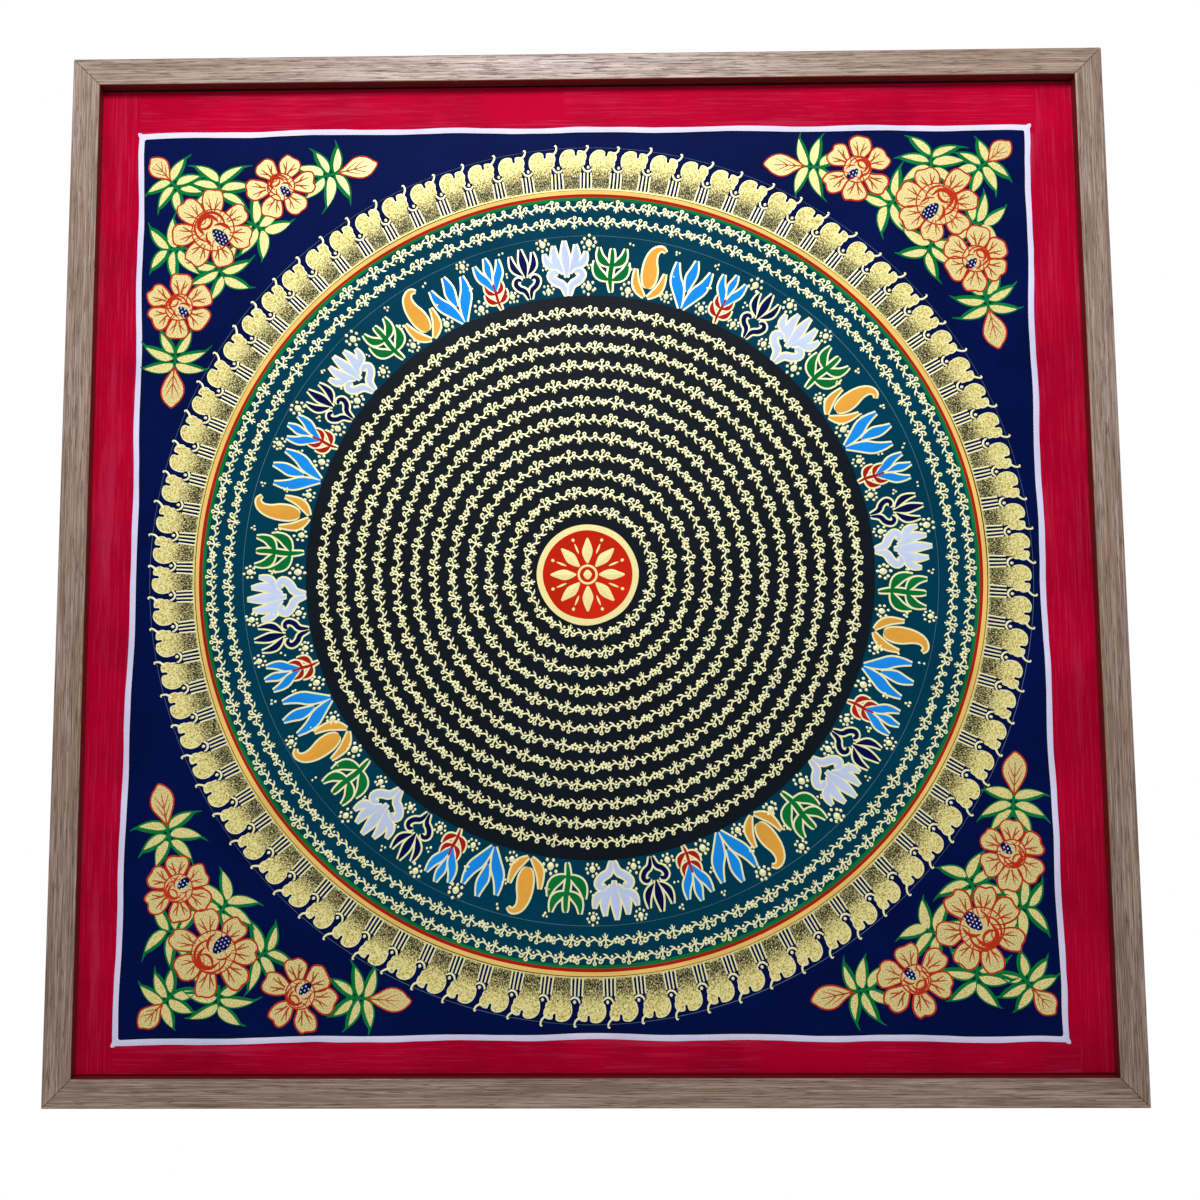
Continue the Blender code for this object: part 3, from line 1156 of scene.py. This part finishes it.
# In mm out from the heart's middle: a petal, then the tongue and the bead that stand between
# two petals, then the ring (radius, width, corners) and the dab in the middle.
LOTUS_PETAL = leaf_stroke(((0.0, 6.5), (-0.3, 11.5), (0.2, 16.0), (0.0, 21.0)), 6.2)
LOTUS_TONGUE = leaf_stroke(((0.0, 13.0), (0.0, 16.0), (0.0, 19.0)), 2.0)
LOTUS_BEAD = dot(0.0, 21.3, 0.9)
LOTUS_RING = (5.2, 1.3, 14)
LOTUS_DAB = 2.4


# ---------------------------------------------------------------- corner sprays

# For each corner the signs of the way inward, and then the middles of its large, level and
# upright flower and of its corner, level and upright bud, in mm from the cloth's centre.
SPRAYS = {
    "top_left": ((1, -1), (-217.5, 197.2), (-178.4, 223), (-236.6, 151),
                 (-249.0, 234.0), (-134, 233.8), (-239.2, 104)),
    "top_right": ((-1, -1), (204.2, 208.5), (158.5, 230), (225.4, 175.5),
                  (240.5, 239.5), (116.5, 233), (234, 134.5)),
    "bottom_left": ((1, 1), (-209, -216.5), (-161, -239.2), (-229.6, -181.5),
                    (-243, -250.5), (-112, -242.5), (-239, -136)),
    "bottom_right": ((-1, 1), (214.5, -205), (177.5, -232), (232.6, -164),
                     (247, -243.5), (132.5, -241), (236, -120.5)),
}
# Reach, petals and radius of the middle of the level, the upright and the large flower.
FLOWERS = ((20.0, 6, 8.6), (19.0, 6, 8.4), (24.0, 7, 13.0))
PETAL_WIDTH = 13.2
# Outline of a flower's petal: width share across, height share out from the flower's middle.
BLOSSOM_PETAL = (
    (-0.12, 0.26), (-0.30, 0.46), (-0.48, 0.66), (-0.50, 0.86), (-0.32, 1.02), (-0.08, 1.03),
    (0.10, 0.99), (0.30, 1.03), (0.50, 0.88), (0.49, 0.66), (0.32, 0.46), (0.12, 0.26),
)
# Veins on each half of a petal, in the same shares, and their widths: a rib and its spur.
PETAL_VEINS = (
    (((0.05, 0.44), (0.10, 0.62), (0.20, 0.84)), (1.2, 1.0, 0.5)),
    (((0.09, 0.56), (0.20, 0.63), (0.33, 0.74)), (1.0, 0.9, 0.5)),
)
# Corners of the rim round a flower's middle.
RIM_SIDES = 9
# Folds of a flower's middle, a cup that opens toward the heart: how far forward each one's
# own centre lies, the headings in degrees between which it runs, its distance out at both
# ends and the width of its shadow, in shares of the middle's radius.
BLOOM_FOLDS = (
    (-0.64, -74, 66, 0.42, 0.38, 0.16),
    (-0.30, 64, 292, 0.46, 0.48, 0.26),
    (-0.26, 38, 212, 0.74, 0.60, 0.16),
    (-0.26, -36, -172, 0.76, 0.64, 0.12),
    (0.30, 58, 158, 0.60, 0.46, 0.18),
    (0.30, -62, -150, 0.60, 0.50, 0.12),
)
# How a fold's shadow swells and ends.
FOLD_SWELL = (0.2, 0.6, 0.8, 0.9, 0.8, 0.6, 0.2)
BLOOM_HEART = (
    (0.0, -0.10), (-0.22, 0.16), (-0.30, 0.52), (-0.18, 0.88), (0.06, 1.00), (0.24, 0.84),
    (0.30, 0.48), (0.20, 0.14),
)
# Distance between the pale dots of a flower's dark heart, and their radius, then how many
# lie in a row, and where their rows start and how far they go on, in shares of the radius
# of the flower's middle.
HEART_PITCH = 2.05
HEART_DOT = 0.50
HEART_COLUMNS = 3
HEART_START = 0.14
HEART_DEPTH = 0.80
# Outline of a bud: width share across, length share out from its foot.
BUD_OUTLINE = (
    (0.0, 0.0), (-0.10, 0.12), (-0.24, 0.26), (-0.46, 0.44), (-0.50, 0.64), (-0.36, 0.84),
    (-0.18, 0.92), (-0.04, 1.05), (0.18, 0.96), (0.40, 0.82), (0.50, 0.60), (0.36, 0.36),
    (0.16, 0.16),
)
# Where the forks of a bud's vein leave it, in shares of its length, and their course: width
# share across and length share past the foot.
BUD_FORKS = (0.22, 0.42)
BUD_FORK = ((0.0, 0.0), (0.16, 0.14), (0.28, 0.32))
# How far a bud's foot lies from its middle and its stem's foot from that, the length of its
# leaves and its own length and width: beside a flower and in the corner.
SIDE_BUD = (11.5, 8.0, 16.5, 23.5, 13.8)
CORNER_BUD = (8.5, 7.2, 15.0, 17.5, 12.6)
BUD_STEM = 8.0
# The leaves on either side of a bud's stem: share of the way up it, how far each turns from
# it in degrees and its share of the full length.
BUD_LEAVES = ((0.0, 124, 0.92), (0.34, 88, 1.0), (0.70, 52, 0.96))
# Fans of leaves round a corner's large flower: heading and distance of the fan's foot from
# the flower's middle, then the heading of its stem, in degrees.
FANS = (
    (278, 22, 268),
    (150, 22, 172),
    (-8, 23.5, 30),
    (82, 22, 58),
)
FAN_STEM = 7.0
FAN_LEAF = 17.2
# The leaves along a fan's stem, in the terms of a bud's.
FAN_LEAVES = (
    (0.0, -108, 0.96), (0.12, 100, 0.96), (0.34, -72, 1.0), (0.46, 64, 1.0), (0.80, -36, 0.94),
    (0.96, 28, 0.90),
)
# Half a leaf's outline: share of the way along it and share of its half width.
LEAF_EDGE = ((0.14, 0.66), (0.36, 1.0), (0.64, 0.90), (0.88, 0.44))
# How far a leaf's tip swings to the side at a bend of 1, in shares of its length.
LEAF_SWEEP = 0.42
# Widths of a leaf's green outline on its outer side, past the tip, and on its inner side.
LEAF_OUTER = (1.2, 1.7, 2.1, 2.3, 2.0, 1.5, 0.3)
LEAF_INNER = (0.9, 1.0, 1.1, 1.1, 1.1, 0.9)
# Pieces of the sprays in the order in which they are laid.
SPRAY_PIECES = (
    "leaf_fills", "leaf_lines", "flower_fills", "flower_lines", "flower_veins", "bloom_fills",
    "bloom_lines", "bloom_hearts", "bloom_dots",
)


class SprayPaint:
    """The outlines and strokes of the corner sprays, by the piece that they belong to."""

    def __init__(self):
        self.drawn = {name: [] for name in SPRAY_PIECES}

    def line(self, name, points, widths, root, angle):
        """Add a stroke drawn with Y forward from a root."""
        self.drawn[name].append(Stroke(turned(points, root, angle), widths))

    def shape(self, points, root, angle, width):
        """Add a flower's filled outline, drawn with Y forward from a root, and its line."""
        outline = turned(points, root, angle)
        self.drawn["flower_fills"].append(outline)
        self.drawn["flower_lines"].append(Stroke(outline, width, closed=True))

    def leaf(self, root, angle, length, width, bend, chance):
        """A slim leaf, gold and curved to one side, whose green outline runs on past its tip."""
        sweep = bend * length * LEAF_SWEEP
        left, right = ([(sweep * share ** 2 + side * width / 2 * swell, share * length)
                        for share, swell in LEAF_EDGE] for side in (-1, 1))
        foot, tip = (0.0, 0.0), (sweep, length)
        outline = (foot, *left, tip, tip, *reversed(right))
        self.drawn["leaf_fills"].append(turned(outline, root, angle))
        past = 1.08 + chance.uniform(0.04, 0.12)
        beyond = (sweep * past ** 3, length * past)
        outer, inner = (left, right) if bend < 0 else (right, left)
        self.line("leaf_lines", (foot, *outer, tip, beyond), LEAF_OUTER, root, angle)
        self.line("leaf_lines", (foot, *inner, tip), LEAF_INNER, root, angle)

    def fan(self, root, aim, stem, leaves, length, chance):
        """Leaves along a short stem that bend away from it."""
        self.line("leaf_lines", ((0.0, -4.0), (0.0, 0.0), (0.0, stem)), (1.4, 2.0, 1.5), root, aim)
        for share, turn, size in leaves:
            angle = aim + math.radians(turn + chance.uniform(-6, 6))
            foot = root + share * stem * unit(aim) + 0.6 * unit(angle)
            bend = math.copysign(chance.uniform(0.6, 1.0), -turn)
            self.leaf(foot, angle, length * size * chance.uniform(0.94, 1.06),
                      chance.uniform(5.8, 6.6), bend, chance)

    def petal(self, centre, angle, reach, width, chance):
        """One petal of a flower: fill, outline and forked veins."""
        points = jittered(np.array(BLOSSOM_PETAL) * (width, reach), 0.8, chance)
        self.shape(points, centre, angle, chance.uniform(0.85, 1.1))
        for side in (-1, 1):
            for shares, widths in PETAL_VEINS:
                vein = [(side * width * across, reach * out) for across, out in shares]
                self.line("flower_veins", vein, widths, centre, angle)

    def flower(self, centre, reach, petals, bloom, phase, toward, chance):
        """A flower with a folded middle and a dark, dotted heart on the side `toward`."""
        for index in range(petals):
            angle = phase + index * math.tau / petals + chance.uniform(-0.08, 0.08)
            self.petal(centre, angle, reach * chance.uniform(0.91, 1.05),
                       PETAL_WIDTH * chance.uniform(0.92, 1.12), chance)
        reaches = [bloom * chance.uniform(0.95, 1.07) for _ in range(RIM_SIDES)]
        rim = around(np.arange(RIM_SIDES) * math.tau / RIM_SIDES, reaches) + centre
        self.drawn["bloom_fills"].append(rim)
        self.drawn["bloom_lines"].append(Stroke(rim, 0.85, closed=True))
        for forward, first, last, near, far, width in BLOOM_FOLDS:
            angles = toward + np.radians(np.linspace(first, last, len(FOLD_SWELL)))
            reaches = bloom * np.linspace(near, far, len(FOLD_SWELL))
            fold = around(angles, reaches) + centre + forward * bloom * unit(toward)
            swell = bloom * width * np.array(FOLD_SWELL)
            self.drawn["bloom_lines"].append(Stroke(fold, swell))
        self.drawn["bloom_hearts"].append(turned(np.array(BLOOM_HEART) * bloom, centre, toward))
        for row in range(int(bloom * HEART_DEPTH / HEART_PITCH)):
            # Every other row is moved half a step to the side.
            start = (row % 2) / 2 - HEART_COLUMNS / 2 + 0.25
            for column in range(HEART_COLUMNS):
                across = (column + start) * HEART_PITCH
                forward = HEART_START * bloom + row * HEART_PITCH
                place = turned([(across, forward)], centre, toward)[0]
                self.drawn["bloom_dots"].append(dot(*place, HEART_DOT))

    def bud(self, root, angle, length, width, chance):
        """A closed bud with a vein up its middle and forks to both sides."""
        points = np.array(BUD_OUTLINE) * (width, length)
        points += [(chance.uniform(-0.3, 0.3), 0.0) for _ in points]
        self.shape(points, root, angle, 0.9)
        vein = ((0.0, 0.0), (0.3, length * 0.4), (0.0, length * 0.78))
        self.line("flower_veins", vein, (1.0, 0.7, 0.4), root, angle)
        for foot in BUD_FORKS:
            for side in (-1, 1):
                fork = [(side * width * across, length * (foot + out)) for across, out in BUD_FORK]
                self.line("flower_veins", fork, (0.7, 0.55, 0.3), root, angle)

    def spray(self, name, inward, *places):
        """All that grows in one corner."""
        chance = random.Random(name)
        large, level, upright, corner_bud, level_bud, upright_bud = np.array(places)

        def heading(degrees):
            """A world angle for one measured from the level side inward to the upright side."""
            turn = math.radians(degrees)
            return math.atan2(math.sin(turn) * inward[1], math.cos(turn) * inward[0])

        for place, distance, aim in FANS:
            self.fan(large + distance * unit(heading(place)),
                     heading(aim + chance.uniform(-5, 5)), FAN_STEM, FAN_LEAVES, FAN_LEAF, chance)
        pairs = [(share, side * turn, size) for share, turn, size in BUD_LEAVES
                 for side in (-1, 1)]
        for flower, middle, (back, stem, leaf, length, width) in (
            (level, level_bud, SIDE_BUD),
            (upright, upright_bud, SIDE_BUD),
            (large, corner_bud, CORNER_BUD),
        ):
            across, up = middle - flower
            aim = math.atan2(up, across)
            foot = middle - back * unit(aim)
            self.fan(foot - stem * unit(aim), aim, BUD_STEM, pairs, leaf, chance)
            self.bud(foot, aim, length, width, chance)
        for middle, (reach, petals, bloom) in zip((level, upright, large), FLOWERS):
            phase = chance.uniform(0, 1)
            self.flower(middle, reach, petals, bloom, phase, heading(45), chance)


# ---------------------------------------------------------------- stage

# All in metres.  The floor is as far below the picture as a wall hook is from the ground.
FLOOR_SIZE = 6.0
FLOOR_HEIGHT = -1.75
FLOOR_COLOUR = (0.86, 0.86, 0.86, 1.0)
LAMP_PLACE = Vector((-0.05, -0.78, 0.40))
LAMP_AIM = Vector((0.0, CLOTH_LOW.y, -0.15))
LAMP_SIZE = (0.34, 0.25)
LAMP_WATTS = 8.6
LAMP_COLOUR = (0.97, 0.98, 1.0)
# The room's brightness goes from one value to the other between two heights of the way
# that one looks, as the Y of a unit step.
ROOM_WAY = (-0.1, 0.5)
ROOM_LIGHT = (0.37, 1.0)
CAMERA_PLACE = (-0.0119, -0.8645, -0.4046)
CAMERA_TURN = (96.392, 0.252, 0.943)
# Lens and film in mm, and the shift in shares of the frame.
LENS = 45.5
FILM_WIDTH = 36.0
LENS_SHIFT = (0.047, -0.002)


# ---------------------------------------------------------------- operators


class CLOTH_OT_stage(bpy.types.Operator):
    """Set the pale floor, the soft lights and the camera"""

    bl_idname = "cloth.stage"
    bl_label = "Stage"

    def execute(self, context):
        self.floor()
        self.lights(context)
        self.camera(context)
        context.scene.view_settings.view_transform = "Standard"
        return {"FINISHED"}

    def floor(self):
        """A wide pale floor."""
        bpy.ops.object.select_all(action="DESELECT")
        bpy.ops.mesh.primitive_plane_add(size=FLOOR_SIZE, location=(0.0, 0.0, FLOOR_HEIGHT))
        floor = bpy.context.object
        floor.name = "floor"
        apply_place(floor)
        _, shader, _ = new_material("pale_floor", 0.9)
        shader.inputs["Base Color"].default_value = FLOOR_COLOUR
        floor.data.materials.append(bpy.data.materials["pale_floor"])

    def lights(self, context):
        """A ceiling lamp in front and above, in a room that is white behind the picture."""
        bpy.ops.object.light_add(type="AREA", location=LAMP_PLACE)
        lamp = context.object
        lamp.name = "ceiling_lamp"
        lamp.data.shape = "RECTANGLE"
        lamp.data.size, lamp.data.size_y = LAMP_SIZE
        lamp.data.energy = LAMP_WATTS
        lamp.data.color = LAMP_COLOUR
        aim = LAMP_AIM - LAMP_PLACE
        lamp.rotation_euler = aim.to_track_quat("-Z", "Y").to_euler()
        world = bpy.data.worlds.new("pale_room")
        world.use_nodes = True
        tree = world.node_tree
        way = add_node(tree, "ShaderNodeTexCoord").outputs["Generated"]
        ahead = add_node(tree, "ShaderNodeSeparateXYZ", {"Vector": way}).outputs["Y"]
        light = add_node(tree, "ShaderNodeMapRange", spread(ahead, *ROOM_WAY, *ROOM_LIGHT))
        tree.links.new(light.outputs["Result"], tree.nodes["Background"].inputs["Color"])
        context.scene.world = world

    def camera(self, context):
        """The photograph's view: a little below the middle, looking up at the cloth."""
        turn = tuple(math.radians(angle) for angle in CAMERA_TURN)
        bpy.ops.object.camera_add(location=CAMERA_PLACE, rotation=turn)
        camera = context.object
        camera.name = "photo_camera"
        camera.data.lens = LENS
        camera.data.sensor_width = FILM_WIDTH
        camera.data.shift_x, camera.data.shift_y = LENS_SHIFT
        context.scene.camera = camera


class CLOTH_OT_wood(bpy.types.Operator):
    """Give the rails their wood, with the grain along each, and the board its fibre"""

    bl_idname = "cloth.wood"
    bl_label = "Frame and board"

    def execute(self, context):
        finishes = {
            "frame_top": "oak_level",
            "frame_bottom": "oak_level",
            "frame_left": "oak_upright",
            "frame_right": "oak_upright",
            "backing_board": "raw_fibreboard",
        }
        for name, finish in finishes.items():
            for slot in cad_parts[name].material_slots:
                slot.link = "OBJECT"
                slot.material = finish_named(finish)
        return {"FINISHED"}


class CLOTH_OT_cloth(bpy.types.Operator):
    """Stretch the primed cotton behind the lip"""

    bl_idname = "cloth.cloth"
    bl_label = "Cotton cloth"

    def execute(self, context):
        bpy.ops.object.select_all(action="DESELECT")
        bpy.ops.mesh.primitive_grid_add(
            x_subdivisions=CLOTH_SQUARES, y_subdivisions=CLOTH_SQUARES, size=1.0,
        )
        cloth = context.object
        cloth.name = "cotton_cloth"
        cloth.scale = (CLOTH_SIZE.x / MM, CLOTH_SIZE.z / MM, 1.0)
        apply_place(cloth)
        apply_modifier(cloth, "SOLIDIFY", thickness=CLOTH_SIZE.y / MM, offset=-1.0)
        apply_modifier(cloth, "BEVEL", width=CLOTH_ROUND, segments=2, limit_method="ANGLE")
        cloth.matrix_world = HANG
        apply_place(cloth)
        cloth.data.materials.append(finish_named("primed_cotton"))
        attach(cloth, "root")
        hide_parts("painted_cloth")
        return {"FINISHED"}


class CLOTH_OT_border(bpy.types.Operator):
    """Brush the crimson border, the navy field and the pale line round it, and paint the shadow along
    the rebate's lips
    """

    bl_idname = "cloth.border"
    bl_label = "Border and field"

    def execute(self, context):
        chance = random.Random(BORDER_SEED)
        for name, (low, high, ragged) in BARS.items():
            paint_bar(name, low, high, ragged, chance)
        paint_shapes("navy_field", [square_path(inset=0.6, step=13.0, sway=0.3, seed=3)])
        inner = square_path(inset=1.95, step=9.0, sway=0.4, seed=5)
        paint_strokes("edge_line", [Stroke(inner, 1.0, True)])
        line = square_path(inset=0.0, step=9.0, sway=0.4, seed=5)
        strokes = [Stroke(line, [chance.uniform(2.9, 3.6) for _ in line], True)]
        for corner in np.array(SQUARE):
            path = [corner + step * np.sign(corner) for step in CROSSING]
            strokes.append(blunt_stroke(path, CROSSING_WIDTHS))
        paint_strokes("pale_line", strokes)
        return {"FINISHED"}


class CLOTH_OT_rings(bpy.types.Operator):
    """Lay the discs and bands of the mandala, each over the one before"""

    bl_idname = "cloth.rings"
    bl_label = "Discs and bands"

    def execute(self, context):
        sizes = context.scene.cloth_sizes
        centre = mandala_centre(context)
        for seed, (name, (size, extra)) in enumerate(DISCS.items(), start=FIRST_DISC_SEED):
            paint_disc(name, centre, getattr(sizes, size) / MM + extra, seed)
        middle = mandala_centre(context, HEART_SHIFT)
        paint_disc("heart_rim", middle, sizes.heart_rim / MM, HEART_RIM_SEED, HEART_WAVER)
        paint_disc("heart", middle, sizes.heart_radius / MM, HEART_SEED, HEART_WAVER)
        self.compass_lines(centre, sizes)
        return {"FINISHED"}

    def compass_lines(self, centre, sizes):
        """The pale scratched circles that the painter set the rings out with."""
        first, pitch = sizes.first_row / MM + COMPASS_LIFT, sizes.row_pitch / MM
        strokes = []
        for radius in (*COMPASS_RADII, *(first + row * pitch for row in range(0, sizes.rows, 2))):
            sides = max(30, int(radius / 3))
            turns = np.arange(sides) * math.tau / sides
            press = np.abs(waver(turns, amount=1.0, seed=int(radius), waves=4))
            widths = COMPASS_WIDTH + COMPASS_PRESS * press
            strokes.append(Stroke(along_ring(centre, turns, radius), widths, closed=True))
        paint_strokes("compass_lines", strokes)


class CLOTH_OT_petal_ring(bpy.types.Operator):
    """Set the gold petals round the mandala, with the tassels and curls between them"""

    bl_idname = "cloth.petal_ring"
    bl_label = "Petal ring"

    def execute(self, context):
        sizes = context.scene.cloth_sizes
        foot = sizes.petal_foot / MM
        chance = random.Random(PETAL_SEED)
        drawn = defaultdict(list)
        for index in range(sizes.petals):
            angle = (index + chance.uniform(-0.03, 0.03)) * math.tau / sizes.petals
            ring = (mandala_centre(context), foot, angle)
            lift = chance.uniform(-0.35, 0.35)
            outline = [(x, y + lift) for x, y in jittered(PETAL_OUTLINE, 0.12, chance)]
            drawn["petal_bodies"].append(Stroke(outline, 1.0).bent(*ring).points)
            drawn["petal_gaps"].append(Stroke(GAP_OUTLINE, 1.0).bent(*ring).points)
            drawn["petal_shades"].append(TASSEL_SHADE.bent(*ring))
            drawn["petal_edges"].append(Stroke(outline[2:-3], 0.5).bent(*ring))
            for stroke in (*tassel(chance), petal_hook(chance)):
                drawn["petal_lines"].append(stroke.bent(*ring))
        paint_drawn(drawn)
        return {"FINISHED"}


class CLOTH_OT_motif_ring(bpy.types.Operator):
    """Set the gold-edged motifs and the dotted rosettes round the teal ring"""

    bl_idname = "cloth.motif_ring"
    bl_label = "Motif ring"

    def execute(self, context):
        centre = mandala_centre(context)
        groups = context.scene.cloth_sizes.groups
        chance = random.Random(MOTIF_SEED)
        drawn = {name: [] for name in MOTIF_PIECES}
        share = math.tau / groups
        ends = [degrees for degrees, _ in GROUP[1:]] + [math.degrees(share)]
        for group in range(groups):
            start = math.radians(GROUP_START) + group * share
            for (degrees, parts), following in zip(GROUP, ends):
                angle = start + math.radians(degrees + chance.uniform(-0.3, 0.3))
                scale = chance.uniform(0.99, 1.05)
                spot = along_ring(centre, [angle], MOTIF_RADIUS)[0]
                for rows, name, out, size in parts:
                    for stroke in motif_strokes(rows):
                        stroke = stroke.placed((0.0, out), 0.0, size).placed(spot, -angle, scale)
                        drawn[name].append(stroke)
                        drawn["motif_edges"].append(stroke.fattened(GOLD_EDGE))
                between = start + math.radians((degrees + following) / 2)
                for reach, likely in DAB_PLACES:
                    turn = between + math.radians(chance.uniform(-0.3, 0.3))
                    make_dabs = rosette if chance.random() < likely else dab_cluster
                    for dab in make_dabs(chance):
                        ring = (centre, reach + chance.uniform(-0.6, 0.6), turn)
                        drawn["rosettes"].append(dab.bent(*ring))
        paint_drawn(drawn)
        return {"FINISHED"}


class CLOTH_OT_gold_rows(bpy.types.Operator):
    """Draw the fine gold vine of every row"""

    bl_idname = "cloth.gold_rows"
    bl_label = "Gold rows"

    def execute(self, context):
        sizes = context.scene.cloth_sizes
        radii = [(sizes.first_row + row * sizes.row_pitch) / MM for row in range(sizes.rows)]
        pieces = {
            "vine_inner": [radius for radius in radii if radius < OUTER_ROWS],
            "vine_outer": [radius for radius in radii if radius >= OUTER_ROWS],
            "vine_teal": TEAL_ROWS,
        }
        for name, rows in pieces.items():
            strokes = []
            for radius in rows:
                strokes += vine_row(mandala_centre(context), radius, sizes.repeat / MM,
                                    int(radius * 10))
            paint_strokes(name, strokes)
        return {"FINISHED"}


class CLOTH_OT_heart(bpy.types.Operator):
    """Paint the gold lotus on the red heart"""

    bl_idname = "cloth.heart"
    bl_label = "Heart lotus"

    def execute(self, context):
        middle = mandala_centre(context, HEART_SHIFT)
        strokes = []
        for index in range(LOTUS_PETALS):
            turn = index * math.tau / LOTUS_PETALS
            between = turn + math.pi / LOTUS_PETALS
            strokes.append(LOTUS_PETAL.placed(middle, turn))
            strokes.append(LOTUS_TONGUE.placed(middle, between))
            strokes.append(LOTUS_BEAD.placed(middle, between))
        strokes += [circlet(*middle, *LOTUS_RING), dot(*middle, LOTUS_DAB)]
        paint_strokes("heart_lotus", strokes)
        return {"FINISHED"}


class CLOTH_OT_sprays(bpy.types.Operator):
    """Grow a spray of flowers, buds and leaves in each corner"""

    bl_idname = "cloth.sprays"
    bl_label = "Corner sprays"

    def execute(self, context):
        paint = SprayPaint()
        for name, places in SPRAYS.items():
            paint.spray(name, *places)
        paint_drawn(paint.drawn)
        return {"FINISHED"}


class CLOTH_OT_declare(bpy.types.Operator):
    bl_idname = "cloth.declare"
    bl_label = "Declare cloth"

    def execute(self, context):
        cloth = bpy.data.objects["cotton_cloth"]
        return {"FINISHED"}


class CLOTH_PT_panel(bpy.types.Panel):
    """Buttons for each step, in order, with the sizes and colours they use"""

    bl_idname = "CLOTH_PT_panel"
    bl_label = "Painted Cloth"
    bl_space_type = "VIEW_3D"
    bl_region_type = "UI"
    bl_category = "Painted Cloth"

    def draw(self, context):
        for step in STEPS:
            self.layout.operator(step.bl_idname)
        for group in (context.scene.cloth_sizes, context.scene.cloth_colours):
            box = self.layout.box()
            for name in group.__annotations__:
                box.prop(group, name)


# The operators in the order in which the piece is made.
STEPS = (
    CLOTH_OT_stage,
    CLOTH_OT_wood,
    CLOTH_OT_cloth,
    CLOTH_OT_border,
    CLOTH_OT_rings,
    CLOTH_OT_petal_ring,
    CLOTH_OT_motif_ring,
    CLOTH_OT_gold_rows,
    CLOTH_OT_heart,
    CLOTH_OT_sprays,
    CLOTH_OT_declare,
)
CLASSES = (ClothSizes, ClothColours, *STEPS, CLOTH_PT_panel)


def register():
    for item in CLASSES:
        bpy.utils.register_class(item)
    bpy.types.Scene.cloth_sizes = bpy.props.PointerProperty(type=ClothSizes)
    bpy.types.Scene.cloth_colours = bpy.props.PointerProperty(type=ClothColours)


def unregister():
    del bpy.types.Scene.cloth_colours
    del bpy.types.Scene.cloth_sizes
    for item in reversed(CLASSES):
        bpy.utils.unregister_class(item)


def main():
    """Make the whole piece."""
    register()
    bpy.ops.cloth.stage()
    bpy.ops.cloth.wood()
    bpy.ops.cloth.cloth()
    bpy.ops.cloth.border()
    bpy.ops.cloth.rings()
    bpy.ops.cloth.petal_ring()
    bpy.ops.cloth.motif_ring()
    bpy.ops.cloth.gold_rows()
    bpy.ops.cloth.heart()
    bpy.ops.cloth.sprays()
    bpy.ops.cloth.declare()


if __name__ == "__main__":
    main()
